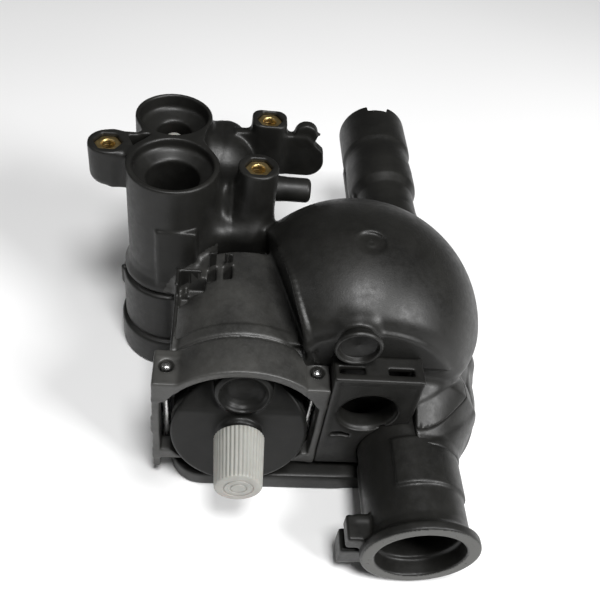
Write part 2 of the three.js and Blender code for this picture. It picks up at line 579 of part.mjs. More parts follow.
function bonnet() {
  const { x, y, z, r, bowl, depth, floor } = CUP;
  const place = (profile, steps) => solid(lathe(profile, steps).rotateX(CUP_LEAN).translate(x, y, z));
  const outer = place([[0, 0], [r, 0], [r, depth], [0, depth]], 28);
  const hollow = place([[0, -PAST], [bowl, -PAST], [bowl, 1.4], [bowl - 1.4, 4], [0, floor]], 24);
  const reach = BONNET.neck - 2;
  const room = axial(BARREL.mouthR - 2 * GAP, reach, BARREL.cheek - 1, 36);
  const around = axial(KNOB.backR + 0.8, reach, BONNET.knobSeat - 0.05, 24);
  const neckRoom = around.subtract(axial(BONNET.neckR, reach, 0));
  const shell = join(bonnetPlug(), bonnetDisc(), outer.intersect(room));
  return cut(shell, hollow, neckRoom, axial(BONNET.boreR, reach, 0, 24));
}

// ---- knob, spindle and poppets ----
function knob() {
  const { backR, frontR, back, front, bore, end, ribs, flute } = KNOB;
  const outline = new THREE.Shape();
  for (let i = 0; i < 2 * ribs; i++) {
    const a = (Math.PI * i) / ribs;
    const r = i % 2 ? backR - flute : backR;
    const point = [r * Math.cos(a), r * Math.sin(a)];
    if (i) outline.lineTo(...point);
    else outline.moveTo(...point);
  }
  const length = back - front;
  const g = new THREE.ExtrudeGeometry(outline, { depth: length, bevelEnabled: false });
  const taper = frontR / backR - 1;
  const p = g.attributes.position;
  for (let i = 0; i < p.count; i++) {
    const s = 1 + (taper * p.getZ(i)) / length;
    p.setXY(i, p.getX(i) * s, p.getY(i) * s);
  }
  const body = solid(g.rotateX(Math.PI / 2).translate(BARREL.x, back, BARREL.z));
  return cut(body, axial(bore, front + end, back + PAST, 24));
}

// A ring on the barrel's axis, from place y with the given thickness.
const disc = (outer, inner, y, thick) => turnedY(BARREL.x, BARREL.z, pipe(outer, inner, y, y + thick));
const poppet = (y) => disc(POPPET.r, SPINDLE.r + GAP, y, POPPET.thick);
const washer = (y) => disc(WASHER.r, WASHER.bore, y, WASHER.thick);
const seat = ([y0, y1]) => disc(SEATS.r, SEATS.bore, y0, y1 - y0);

function returnSpring() {
  const wound = coil(RETURN_SPRING, 0, RETURN_SPRING.length);
  const front = RETURN_SPRING.back - RETURN_SPRING.length;
  return solid(wound.rotateX(-Math.PI / 2).translate(BARREL.x, front, BARREL.z));
}

function checkPoppet() {
  const { stem, tail, headR, head, tip, bottom } = CHECK;
  return turnedZ(SMALL.x, SMALL.y, [
    [0, bottom - tail], [stem, bottom - tail], [stem, head], [headR, head], [headR, tip - 3],
    [headR - 1, tip - 1], [headR - 2.6, tip], [0, tip],
  ], 24);
}

function checkBody() {
  const { r, bore, guide, floor, bottom, top } = CHECK;
  return turnedZ(SMALL.x, SMALL.y, [
    [guide, bottom], [r, bottom], [r, top], [bore, top], [bore, bottom + floor], [guide, bottom + floor],
    [guide, bottom],
  ], 28);
}

function pin(x) {
  const { r, bottom, top, point, y } = PIN;
  return turnedZ(x, y, [
    [0, bottom], [r - 0.4, bottom], [r, bottom + point], [r, top - 0.6], [r - 0.5, top + 0.4], [0, top + 0.7],
  ], 20);
}

// ---- the assembly ----
add("upper_housing", upperHousing(), NYLON);
add("pump_casing", pumpCasing(), NYLON);
add("diverter_barrel", diverterBarrel(), NYLON);
add("flow_tube", flowTube(), NYLON);
add("return_tube", returnTube(), NYLON);
add("hose_spigot", hoseSpigot(), NYLON);
add("bracket_plate", bracketPlate(), NYLON);
add("sensor_plug", sensorPlug(), NYLON);
for (const { name, x, y } of BOSSES) {
  const hex = rodZ(x, y, INSERT.corner, RIM - INSERT.height, RIM - INSERT.sunk, 6);
  add(name, cut(hex, rodZ(x, y, INSERT.thread, 0, RIM + PAST, 18)), BRASS);
}
add("bonnet", bonnet(), MACHINED);
add("bonnet_seal", disc(SEAL.r, SEAL.inner, SEAL.front, SEAL.back - SEAL.front), RUBBER);
add("front_seat", seat(SEATS.front), BRASS);
add("rear_seat", seat(SEATS.rear), BRASS);
add("check_body", checkBody(), GREY);
add("knob", knob(), GREY);
add("spindle", axial(SPINDLE.r, SPINDLE.front, SPINDLE.back, 24), STEEL);
add("front_poppet", poppet(POPPET.front), BRASS);
add("front_washer", washer(WASHER.front), RUBBER);
add("rear_poppet", poppet(POPPET.rear), BRASS);
add("rear_washer", washer(WASHER.rear), RUBBER);
add("return_spring", returnSpring(), STEEL);
add("check_poppet", checkPoppet(), GREY);
const checkSpring = coil(CHECK_SPRING, CHECK_SPRING.bottom, CHECK.head - GAP);
add("check_spring", solid(checkSpring.translate(SMALL.x, SMALL.y, 0)), STEEL);
add("pin_left", pin(PIN.xLeft), STEEL);
add("pin_right", pin(PIN.xRight), STEEL);

export default model;
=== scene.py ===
"""Boiler hydraulic block with its diverter valve: the looks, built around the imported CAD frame.

Shapes are made in millimetres, in the frame's own axes, and become metres when a mesh is made.
The moulded pieces are signed distance fields: shapes are joined to a grid or cut from it with fillets,
and a surface net turns the grid into a mesh. Turned pieces are lofted from rings.
"""
import json
import math
import bpy
import numpy as np
from mathutils import Matrix, Vector


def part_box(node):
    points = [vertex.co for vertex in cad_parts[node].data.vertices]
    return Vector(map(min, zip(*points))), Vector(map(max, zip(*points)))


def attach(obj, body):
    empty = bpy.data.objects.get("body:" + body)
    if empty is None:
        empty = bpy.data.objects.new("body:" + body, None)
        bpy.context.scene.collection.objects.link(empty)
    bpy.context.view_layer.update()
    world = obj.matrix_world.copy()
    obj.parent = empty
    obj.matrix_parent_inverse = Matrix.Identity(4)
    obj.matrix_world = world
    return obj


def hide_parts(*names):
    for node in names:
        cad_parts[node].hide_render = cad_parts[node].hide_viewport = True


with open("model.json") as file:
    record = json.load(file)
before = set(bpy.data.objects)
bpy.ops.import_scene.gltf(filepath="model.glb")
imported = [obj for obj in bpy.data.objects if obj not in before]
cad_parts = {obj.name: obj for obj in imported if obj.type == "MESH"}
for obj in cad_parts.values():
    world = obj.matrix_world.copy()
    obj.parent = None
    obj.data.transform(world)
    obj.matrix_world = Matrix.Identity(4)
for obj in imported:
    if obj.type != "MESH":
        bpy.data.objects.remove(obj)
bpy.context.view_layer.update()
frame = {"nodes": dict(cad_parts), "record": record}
MM = 0.001
FAR = 40.0  # distance that an empty grid starts with
ENDLESS = 400  # half the width of the box round a half space


# ---- places: read from the frame's boxes, or given in the frame's millimetres ----
class Place:
    """A CAD node's box in millimetres: low, high and mid are (x, y, z)."""

    def __init__(self, node):
        low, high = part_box(node)
        self.low = np.array(low) / MM
        self.high = np.array(high) / MM
        self.mid = (self.low + self.high) / 2


AT = {name: Place(name) for name in frame["nodes"]}
RIM = AT["upper_housing"].high[2]
PARTING = AT["upper_housing"].low[2]
TOWER_R, MID_R, FOOT_R = 19.5, 22.5, -AT["pump_casing"].low[0]
SMALL_X, SMALL_Y = AT["check_body"].mid[:2]
SMALL_R = 17.1
BARREL_X, BARREL_Z = AT["knob"].mid[0], AT["knob"].mid[2]
BARREL_FRONT, BARREL_BACK = AT["diverter_barrel"].low[1], AT["diverter_barrel"].high[1]
BARREL_LEFT, BARREL_RIGHT = AT["diverter_barrel"].low[0], AT["diverter_barrel"].high[0]
COLLAR = BARREL_FRONT + 17.5
HOOD_R, REAR_R = 37.5, 35.5
PIN_LEFT, PIN_RIGHT, PIN_Y = AT["pin_left"].mid[0], AT["pin_right"].mid[0], AT["pin_left"].mid[1]
LUG_TOP = 66
DOME_R = 56.9
DOME_X, DOME_Y = 82.5, -32.3
DOME_FACE = -70.5
FLOW_X, FLOW_Z = AT["flow_tube"].high[0] - 23.9, AT["flow_tube"].low[2] + 23.9
FLOW_FRONT, FLOW_BACK = AT["flow_tube"].low[1], AT["flow_tube"].high[1]
RETURN_X, RETURN_Z = AT["return_tube"].high[0] - 18.2, AT["return_tube"].mid[2]
RETURN_ROOT, RETURN_END = AT["return_tube"].low[1], AT["return_tube"].high[1]
SENSOR = AT["sensor_plug"].mid
SPIGOT_Y, SPIGOT_Z = AT["hose_spigot"].mid[1], AT["hose_spigot"].mid[2]
TOE_FRONT = -89
ARM_FRONT, ARM_BACK, ARM_LOW, ARM_RIGHT = 34.2, 39, 78.6, 68.4
ARM_LUG = (58.4, 101)
LUG_LEFT_INNER, LUG_RIGHT_INNER, LUG_LOW, CHEEK = 8.5, 57, 54, -70.5
LEG_LEFT, LEG_RIGHT = 1.2, 64.3
INSERTS = [AT[name] for name in ("insert_left", "insert_front", "insert_rear")]
LEFT, FRONT, REAR = (place.mid for place in INSERTS)
TRIM_POINT, TRIM_NORMAL, TRIM_FLOOR = (52.3, -41, 68), (1, 0.288, 0.16), 66
GATE = 80.8, -38.2  # the moulding gate's recess on top of the dome
REAR_LEFT, REAR_RIGHT, BARREL_FOOT, SILL = 3.5, 62, 6.3, 13
MOUTH_R, PLUG_R, PLUG_BACK = 33.8, 31, -64
CHAMBER_R, CHAMBER_FRONT, CHAMBER_BACK, THROAT_R, THROAT_BACK = 20, -72, -26, 7, -18.5
INSERT_CORNER = 6.0
BLOCK_STEP = 0.55  # grid step of the moulded block


# ---- distance shapes ----
class Shape:
    """A box (low, high) around a shape, and its signed distance, which is negative inside."""

    def __init__(self, low, high, distance):
        self.low, self.high, self.distance = np.array(low, float), np.array(high, float), distance

    def __and__(self, other):
        low, high = np.maximum(self.low, other.low), np.minimum(self.high, other.high)
        return Shape(low, high, lambda x, y, z: np.maximum(self.distance(x, y, z), other.distance(x, y, z)))

    def __or__(self, other):
        low, high = np.minimum(self.low, other.low), np.maximum(self.high, other.high)
        return Shape(low, high, lambda x, y, z: np.minimum(self.distance(x, y, z), other.distance(x, y, z)))

    def __sub__(self, other):
        return Shape(self.low, self.high,
                     lambda x, y, z: np.maximum(self.distance(x, y, z), -other.distance(x, y, z)))

    def meet(self, other, fillet):
        """What is inside both, with the edges between them rounded by fillet."""
        made = self & other
        made.distance = lambda x, y, z: -smooth_min(
            -self.distance(x, y, z), -other.distance(x, y, z), 2 * fillet)
        return made


def outline_distance(points, u, v):
    """Signed distance to a closed outline of (u, v) points."""
    nearest, inside = None, False
    for (au, av), (bu, bv) in zip(points, points[1:] + points[:1]):
        eu, ev = bu - au, bv - av
        t = np.clip(((u - au) * eu + (v - av) * ev) / (eu * eu + ev * ev), 0, 1)
        away = (u - au - t * eu) ** 2 + (v - av - t * ev) ** 2
        nearest = away if nearest is None else np.minimum(nearest, away)
        if av != bv:
            inside = inside ^ (((av > v) != (bv > v)) & (u < eu * (v - av) / ev + au))
    return np.where(inside, -1, 1) * np.sqrt(nearest)


def extruded(flat, along, half, edge):
    """A flat distance carried along a length of 2 * half, its end edges rounded by edge."""
    a, b = flat + edge, np.abs(along) - half + edge
    return np.minimum(np.maximum(a, b), 0) + np.hypot(np.maximum(a, 0), np.maximum(b, 0)) - edge


def split(axis, x, y, z):
    """(along the axis, and the two other coordinates in x, y, z order)."""
    return [(x, y, z), (y, x, z), (z, x, y)][axis]


def corners(axis, a, b, u0, u1, v0, v1):
    low, high = [u0, v0], [u1, v1]
    low.insert(axis, a)
    high.insert(axis, b)
    return low, high


def box(x0, x1, y0, y1, z0, z1, edge=0.0):
    mid, half = [(x0 + x1) / 2, (y0 + y1) / 2, (z0 + z1) / 2], [(x1 - x0) / 2, (y1 - y0) / 2, (z1 - z0) / 2]

    def distance(x, y, z):
        q = [np.abs(p - m) - h + edge for p, m, h in zip((x, y, z), mid, half)]
        out = np.sqrt(np.maximum(q[0], 0) ** 2 + np.maximum(q[1], 0) ** 2 + np.maximum(q[2], 0) ** 2)
        return out + np.minimum(np.maximum(np.maximum(q[0], q[1]), q[2]), 0) - edge
    return Shape([x0, y0, z0], [x1, y1, z1], distance)


def rod(axis, u, v, radius, a, b, edge=0.0):
    def distance(x, y, z):
        w, p, q = split(axis, x, y, z)
        return extruded(np.hypot(p - u, q - v) - radius, w - (a + b) / 2, (b - a) / 2, edge)
    return Shape(*corners(axis, a, b, u - radius, u + radius, v - radius, v + radius), distance)


def turned(axis, u, v, profile):
    """A solid of revolution; the profile is a closed outline of (radius, place along the axis)."""
    reach, places = max(r for r, _ in profile), [h for _, h in profile]

    def distance(x, y, z):
        w, p, q = split(axis, x, y, z)
        return outline_distance(profile, np.hypot(p - u, q - v), w)
    ends = min(places), max(places)
    return Shape(*corners(axis, *ends, u - reach, u + reach, v - reach, v + reach), distance)


def prism(axis, outline, a, b, edge=0.0):
    """An outline in the two other coordinates, in x, y, z order, carried along the axis."""
    us, vs = [p[0] for p in outline], [p[1] for p in outline]

    def distance(x, y, z):
        w, p, q = split(axis, x, y, z)
        return extruded(outline_distance(outline, p, q), w - (a + b) / 2, (b - a) / 2, edge)
    return Shape(*corners(axis, a, b, min(us), max(us), min(vs), max(vs)), distance)


def block(x0, x1, y0, y1, z0, z1, corner, edge=0.0):
    """An upright block whose upright corners are rounded by corner and its other edges by edge."""
    def distance(x, y, z):
        p = np.abs(x - (x0 + x1) / 2) - (x1 - x0) / 2 + corner
        q = np.abs(y - (y0 + y1) / 2) - (y1 - y0) / 2 + corner
        flat = np.hypot(np.maximum(p, 0), np.maximum(q, 0)) + np.minimum(np.maximum(p, q), 0) - corner
        return extruded(flat, z - (z0 + z1) / 2, (z1 - z0) / 2, edge)
    return Shape([x0, y0, z0], [x1, y1, z1], distance)


def ball(x0, y0, z0, radius):
    def distance(x, y, z):
        return np.sqrt((x - x0) ** 2 + (y - y0) ** 2 + (z - z0) ** 2) - radius
    return Shape([x0 - radius, y0 - radius, z0 - radius], [x0 + radius, y0 + radius, z0 + radius], distance)


def bar(a, b, radius, end=None):
    """A round bar from point a to point b, which tapers from radius to end."""
    a, b = np.array(a, float), np.array(b, float)
    end = radius if end is None else end
    most = max(radius, end)

    def distance(x, y, z):
        d = b - a
        t = ((x - a[0]) * d[0] + (y - a[1]) * d[1] + (z - a[2]) * d[2]) / (d @ d)
        t = np.clip(t, 0, 1)
        away = np.sqrt(sum((p - s - t * e) ** 2 for p, s, e in zip((x, y, z), a, d)))
        return away - radius - t * (end - radius)
    return Shape(np.minimum(a, b) - most, np.maximum(a, b) + most, distance)


def half_space(axis, place, side):
    """Everything on one side of a plane: side 1 keeps what is above it."""
    return Shape([-ENDLESS] * 3, [ENDLESS] * 3,
                 lambda x, y, z: side * (place - split(axis, x, y, z)[0]) + 0 * (x + y + z))


def slanted(point, normal):
    """Everything behind a plane through a point; the normal points away from it."""
    n = np.array(normal, float) / np.linalg.norm(normal)
    return Shape([-ENDLESS] * 3, [ENDLESS] * 3, lambda x, y, z: sum(
        (p - q) * m for p, q, m in zip((x, y, z), point, n)))


class Field:
    """A grid of signed distances."""

    def __init__(self, low, high, step):
        self.step = step
        self.axes = [np.arange(a, b + step, step, dtype=np.float32) for a, b in zip(low, high)]
        self.d = np.full([len(a) for a in self.axes], FAR, np.float32)

    def window(self, shape, margin):
        spans = [slice(*np.searchsorted(axis, [low - margin, high + margin]))
                 for axis, low, high in zip(self.axes, shape.low, shape.high)]
        x, y, z = (axis[span] for axis, span in zip(self.axes, spans))
        return tuple(spans), shape.distance(x[:, None, None], y[None, :, None], z[None, None, :])

    def add(self, shape, fillet=0.6):
        spans, d = self.window(shape, 2 * fillet + 2 * self.step)
        self.d[spans] = smooth_min(self.d[spans], d, 2 * fillet)
        return self

    def cut(self, shape, fillet=0.0):
        spans, d = self.window(shape, 2 * fillet + 2 * self.step)
        self.d[spans] = -smooth_min(-self.d[spans], d, 2 * fillet)
        return self

    def only(self, shape):
        """A copy that keeps what is inside shape."""
        made = Field.__new__(Field)
        made.step, made.axes = self.step, self.axes
        made.d = np.maximum(self.d, shape.distance(self.axes[0][:, None, None], self.axes[1][None, :, None],
                                                   self.axes[2][None, None, :])).astype(np.float32)
        return made

    def soften(self, times=1):
        """Rounds every edge by about a grid step."""
        d = np.clip(self.d, -3 * self.step, 3 * self.step)
        for _ in range(times):
            for axis in range(3):
                near = np.roll(d, 1, axis) + np.roll(d, -1, axis)
                d = 0.5 * d + 0.25 * near
        self.d = d
        return self


def smooth_min(a, b, reach):
    if reach <= 0:
        return np.minimum(a, b)
    h = np.maximum(reach - np.abs(a - b), 0) / reach
    return np.minimum(a, b) - h * h * reach / 4


def surface_net(field):
    """The zero surface of a field as (vertices, quads)."""
    d, step = field.d, field.step
    inside = d < 0
    n = tuple(s - 1 for s in d.shape)
    count = np.zeros(n, np.uint8)
    steps = [(i, j, k) for i in (0, 1) for j in (0, 1) for k in (0, 1)]
    for i, j, k in steps:
        count += inside[i:n[0] + i, j:n[1] + j, k:n[2] + k]
    cells = np.argwhere((count > 0) & (count < 8))
    number = np.full(n, -1, np.int32)
    number[tuple(cells.T)] = np.arange(len(cells))
    corner = {s: d[tuple((cells + s).T)] for s in steps}
    total, hits = np.zeros((len(cells), 3)), np.zeros(len(cells))
    for s in steps:
        for axis in range(3):
            if s[axis]:
                continue
            e = tuple(c + (a == axis) for a, c in enumerate(s))
            da, db = corner[s], corner[e]
            crossing = (da < 0) != (db < 0)
            t = np.where(crossing, da / np.where(crossing, da - db, 1), 0)
            point = np.repeat(np.array(s, float)[None], len(cells), 0)
            point[:, axis] = t
            total += point * crossing[:, None]
            hits += crossing
    start = np.array([axis[0] for axis in field.axes])
    vertices = start + (cells + total / hits[:, None]) * step
    quads = []
    for axis in range(3):
        u, v = (axis + 1) % 3, (axis + 2) % 3
        ahead = np.roll(inside, -1, axis)
        changed = inside != ahead
        changed[tuple(slice(-1, None) if a == axis else slice(None) for a in range(3))] = False
        edges = np.argwhere(changed)
        edges = edges[(edges[:, u] > 0) & (edges[:, v] > 0) & (edges[:, u] < n[u]) & (edges[:, v] < n[v])]
        around = []
        for du, dv in ((1, 1), (0, 1), (0, 0), (1, 0)):
            cell = edges.copy()
            cell[:, u] -= du
            cell[:, v] -= dv
            around.append(number[tuple(cell.T)])
        quad = np.stack(around, 1)
        solid_first = inside[tuple(edges.T)]
        quad[~solid_first] = quad[~solid_first][:, ::-1]
        quads.append(quad)
    return vertices, np.concatenate(quads)


# ---- meshes ----
def new_piece(name, vertices, faces, material, body, slot, *nodes):
    """A mesh object from arrays in millimetres, which rides on a body and stands for CAD nodes."""
    mesh = bpy.data.meshes.new(name)
    faces = np.asarray(faces, np.int32)
    mesh.vertices.add(len(vertices))
    mesh.vertices.foreach_set("co", (np.asarray(vertices, np.float64) * MM).astype(np.float32).ravel())
    mesh.loops.add(faces.size)
    mesh.loops.foreach_set("vertex_index", faces.ravel())
    mesh.polygons.add(len(faces))
    mesh.polygons.foreach_set("loop_start", np.arange(len(faces), dtype=np.int32) * faces.shape[1])
    mesh.update(calc_edges=True)
    mesh.validate()
    piece = bpy.data.objects.new(name, mesh)
    bpy.context.scene.collection.objects.link(piece)
    mesh.materials.append(material)
    mesh.shade_smooth()
    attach(piece, body)
    if nodes:
        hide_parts(*nodes)
    return piece


def bake_modifiers(piece):
    """Replaces a piece's mesh by the one its modifiers make."""
    graph = bpy.context.evaluated_depsgraph_get()
    made = bpy.data.meshes.new_from_object(piece.evaluated_get(graph))
    piece.modifiers.clear()
    piece.data = made
    return piece


def moulded(name, field, material, body, slot, *nodes, most=180_000, soften=1):
    """A field as a piece with at most that many triangles."""
    vertices, quads = surface_net(field.soften(soften) if soften else field)
    piece = new_piece(name, vertices, quads, material, body, slot, *nodes)
    if 2 * len(quads) > most:
        thin = piece.modifiers.new("thin", "DECIMATE")
        thin.ratio = most / (2 * len(quads))
        bake_modifiers(piece)
        piece.data.shade_smooth()
    return piece


def loft(rings, closed=False):
    """Vertices and quads of a skin over rings of equal count; closed joins the last ring to the first."""
    rings = [np.asarray(r, float) for r in rings]
    count, sides = len(rings), len(rings[0])
    quads = []
    for i in range(count if closed else count - 1):
        a, b = i * sides, (i + 1) % count * sides
        quads += [(a + k, a + (k + 1) % sides, b + (k + 1) % sides, b + k) for k in range(sides)]
    return np.concatenate(rings), quads


def ring(axis, u, v, radius, along, sides=72):
    """A circle of points about an axis; radius may be a function of the angle."""
    angles = np.arange(sides) * 2 * math.pi / sides
    radii = np.array([radius(a) for a in angles]) if callable(radius) else np.full(sides, radius)
    p, q = u + radii * np.cos(angles), v + radii * np.sin(angles)
    order = [np.full(sides, along), p, q] if axis == 0 else [p, q]
    if axis:
        order.insert(axis, np.full(sides, along))
    return np.stack(order, 1)


def turned_piece(name, axis, u, v, profile, material, body, slot, *nodes, edge=0.25, sides=72):
    """A turned solid from a closed outline of (radius, place along the axis), with bevelled corners."""
    rings = [ring(axis, u, v, max(r, 0.02), h, sides) for r, h in profile]
    vertices, quads = loft(rings, closed=True)
    piece = new_piece(name, vertices, quads, material, body, slot, *nodes)
    if signed_volume(piece.data) < 0:
        piece.data.flip_normals()
    bevel = piece.modifiers.new("edges", "BEVEL")
    bevel.width, bevel.segments = edge * MM, 2
    bevel.limit_method, bevel.angle_limit = "ANGLE", math.radians(28)
    bake_modifiers(piece)
    piece.data.shade_smooth()
    return piece


def signed_volume(mesh):
    co = np.empty(len(mesh.vertices) * 3)
    mesh.vertices.foreach_get("co", co)
    co = co.reshape(-1, 3)
    mesh.calc_loop_triangles()
    tri = np.empty(len(mesh.loop_triangles) * 3, np.int32)
    mesh.loop_triangles.foreach_get("vertices", tri)
    a, b, c = co[tri.reshape(-1, 3)].transpose(1, 0, 2)
    return float((a * np.cross(b, c)).sum()) / 6


# ---- materials ----
class Nodes:
    """Short ways to make and join a material's nodes."""

    def __init__(self, name):
        self.material = bpy.data.materials.new(name)
        self.material.use_nodes = True
        self.tree = self.material.node_tree
        self.tree.nodes.clear()
        output = self.tree.nodes.new("ShaderNodeOutputMaterial")
        self.shader = self.tree.nodes.new("ShaderNodeBsdfPrincipled")
        self.tree.links.new(self.shader.outputs[0], output.inputs[0])
        self.place = self.tree.nodes.new("ShaderNodeTexCoord").outputs["Object"]

    def noise(self, scale, detail=3.0, rough=0.55, stretch=None):
        node = self.tree.nodes.new("ShaderNodeTexNoise")
        node.inputs["Scale"].default_value = scale
        node.inputs["Detail"].default_value = detail
        node.inputs["Roughness"].default_value = rough
        place = self.place
        if stretch:
            mapping = self.tree.nodes.new("ShaderNodeMapping")
            mapping.inputs["Scale"].default_value = stretch
            self.tree.links.new(place, mapping.inputs[0])
            place = mapping.outputs[0]
        self.tree.links.new(place, node.inputs["Vector"])
        return node.outputs["Fac"]

    def ramp(self, value, *stops):
        """A colour ramp; each stop is (place, colour)."""
        node = self.tree.nodes.new("ShaderNodeValToRGB")
        elements = node.color_ramp.elements
        while len(elements) < len(stops):
            elements.new(0.5)
        for element, (place, colour) in zip(elements, stops):
            element.position = place
            element.color = (*colour, 1)
        self.tree.links.new(value, node.inputs[0])
        return node.outputs[0]

    def span(self, value, low, high, from_low=0.3, from_high=0.7):
        node = self.tree.nodes.new("ShaderNodeMapRange")
        limits = {"From Min": from_low, "From Max": from_high, "To Min": low, "To Max": high}
        for name, number in limits.items():
            node.inputs[name].default_value = number
        self.tree.links.new(value, node.inputs[0])
        return node.outputs[0]

    def mix(self, a, b, share):
        node = self.tree.nodes.new("ShaderNodeMix")
        node.data_type = "RGBA"
        for source, target in ((share, 0), (a, 6), (b, 7)):
            self.set(node.inputs[target], source)
        return node.outputs[2]

    def set(self, target, source):
        if isinstance(source, bpy.types.NodeSocket):
            self.tree.links.new(source, target)
        elif isinstance(source, tuple) and len(source) == 3 and target.type == "RGBA":
            target.default_value = (*source, 1)
        else:
            target.default_value = source

    def bump(self, *layers):
        """Bumps on top of each other; each layer is (height value, strength, distance in millimetres)."""
        normal = None
        for height, strength, distance in layers:
            node = self.tree.nodes.new("ShaderNodeBump")
            node.inputs["Strength"].default_value = strength
            node.inputs["Distance"].default_value = distance * MM
            self.tree.links.new(height, node.inputs["Height"])
            if normal:
                self.tree.links.new(normal, node.inputs["Normal"])
            normal = node.outputs[0]
        self.tree.links.new(normal, self.shader.inputs["Normal"])

    def finish(self, **values):
        for name, source in values.items():
            self.set(self.shader.inputs[name.replace("_", " ")], source)
        return self.material


def nylon(name, dark, light, rough_low, rough_high, grain=1.0, sheen=0.4):
    """Moulded glass-filled nylon: cloudy fibre marks, a fine grain and patches of gloss."""
    n = Nodes(name)
    clouds = n.noise(55, 4)
    fibres = n.noise(1300, 3, 0.7, (1, 0.6, 1))
    grit = n.noise(3600, 2, 0.6)
    colour = n.mix(n.ramp(clouds, (0.35, dark), (0.68, light)), light, n.span(fibres, 0, 0.45, 0.45, 0.8))
    n.bump((n.noise(160, 2), 0.12, 0.12), (fibres, 0.4 * grain, 0.07), (grit, 0.25 * grain, 0.02))
    return n.finish(Base_Color=colour, Specular_IOR_Level=sheen,
                    Roughness=n.span(n.noise(300, 4, 0.65), rough_low, rough_high))


def machined_nylon():
    """A sawn or faced nylon surface: paler, with fine turning lines."""
    n = Nodes("machined_nylon")
    lines = n.noise(2400, 2, 0.5)
    blotches = n.noise(120, 3)
    colour = n.ramp(blotches, (0.3, (0.05, 0.05, 0.046)), (0.7, (0.08, 0.08, 0.074)))
    n.bump((lines, 0.2, 0.03))
    return n.finish(Base_Color=colour, Roughness=n.span(blotches, 0.5, 0.66))


def grey_plastic():
    n = Nodes("grey_plastic")
    clouds = n.noise(140, 3)
    colour = n.ramp(clouds, (0.3, (0.27, 0.264, 0.242)), (0.7, (0.325, 0.317, 0.292)))
    n.bump((n.noise(2600, 2), 0.15, 0.02))
    return n.finish(Base_Color=colour, Roughness=n.span(n.noise(500, 3), 0.38, 0.5), Subsurface_Weight=0.05)


def metal(name, dark, light, rough_low, rough_high, stretch=(1, 1, 1)):
    n = Nodes(name)
    streaks = n.noise(900, 3, 0.6, stretch)
    colour = n.ramp(n.noise(220, 3), (0.3, dark), (0.7, light))
    n.bump((streaks, 0.18, 0.02))
    return n.finish(Base_Color=colour, Metallic=1.0, Roughness=n.span(streaks, rough_low, rough_high))


def rubber():
    n = Nodes("seal_rubber")
    clouds = n.noise(300, 3)
    n.bump((n.noise(3000, 2), 0.2, 0.02))
    return n.finish(Base_Color=n.ramp(clouds, (0.3, (0.012, 0.012, 0.012)), (0.7, (0.03, 0.03, 0.03))),
                    Roughness=n.span(clouds, 0.6, 0.8))


NYLON = nylon("block_nylon", (0.0055, 0.0054, 0.0048), (0.0115, 0.0113, 0.0101), 0.36, 0.50,
              grain=1.5, sheen=0.34)
ROUGH_NYLON = nylon("barrel_nylon", (0.013, 0.0128, 0.0116), (0.036, 0.0353, 0.0322), 0.42, 0.58,
                    grain=3.0, sheen=0.7)
BONNET_NYLON = nylon("cap_nylon", (0.005, 0.005, 0.0046), (0.010, 0.010, 0.0094), 0.34, 0.46,
                     grain=0.6, sheen=0.2)
MACHINED = machined_nylon()
GREY = grey_plastic()
BRASS = metal("insert_brass", (0.46, 0.33, 0.13), (0.66, 0.50, 0.24), 0.28, 0.46)
STEEL = metal("pin_steel", (0.55, 0.55, 0.54), (0.72, 0.72, 0.71), 0.2, 0.34, (1, 1, 0.1))
RUBBER = rubber()


# ---- the moulded block: tower, sockets, saddle, dome, casing and barrel ----
def upright(radius, z0, z1, x=0.0, y=0.0, edge=0.0):
    return rod(2, x, y, radius, z0, z1, edge)


def tower(f):
    groove, lip = 20.7, 21.7
    f.add(turned(2, 0, 0, [
        (0, 0), (FOOT_R - 1, 0), (FOOT_R, 1), (FOOT_R, 16.6), (23.4, 17.4), (21.9, 17.6), (21.9, 18.7),
        (MID_R, 19.2), (MID_R, 46.4), (21.9, 47.1), (groove, 47.3), (groove, 49.6), (lip, 49.8), (lip, 52),
        (TOWER_R + 0.6, 56), (TOWER_R, 60), (TOWER_R, RIM), (0, RIM)]), 0)
    f.add(block(-6, 11.5, -20.4, 0, 50, 85.5, 1.2, 0.8), 0.3)
    f.add(bar((-22.3, -3, 38), (-22.3, -3, 47), 1.2), 0.4)


def sockets(f):
    f.add(upright(SMALL_R, 8, RIM, SMALL_X, SMALL_Y, 0.5), 2)
    f.add(block(-14, 12, 10, 26, 60, RIM - 0.5, 3, 0.5), 2.5)
    f.add(upright(8.6, 87, RIM - 4, LEFT[0], LEFT[1], 4.5), 0)
    f.add(upright(8.6, 94, RIM, LEFT[0], LEFT[1], 0.5), 0)
    f.add(block(LEFT[0], -10, 3.7, 11.5, 87.2, RIM - 0.5, 2, 2.5), 1)
    f.add(block(LEFT[0], -8, 12, 21.5, 92, RIM - 0.7, 2, 1), 1.2)


def saddle(f):
    f.add(block(0, 40, -12, 34, 30, 80, 6, 5), 5)
    f.add(block(4, 33, 2, 43, 78, 93, 7, 5), 4)
    f.add(bar((22, 30, 90), (22, 41.5, 90), 9.6), 4)
    f.add(ball(16.5, 39.6, 92.6, 3.2), 1.4)
    f.add(ball(23.6, 39.2, 92.6, 3.0), 1.4)
    f.add(upright(8.8, 58, RIM, FRONT[0], FRONT[1], 0.5), 5)
    f.add(block(REAR[0] - 8, REAR[0] + 8, REAR[1] - 7, REAR[1] + 7, 80, RIM, 4.5, 0.6), 2)


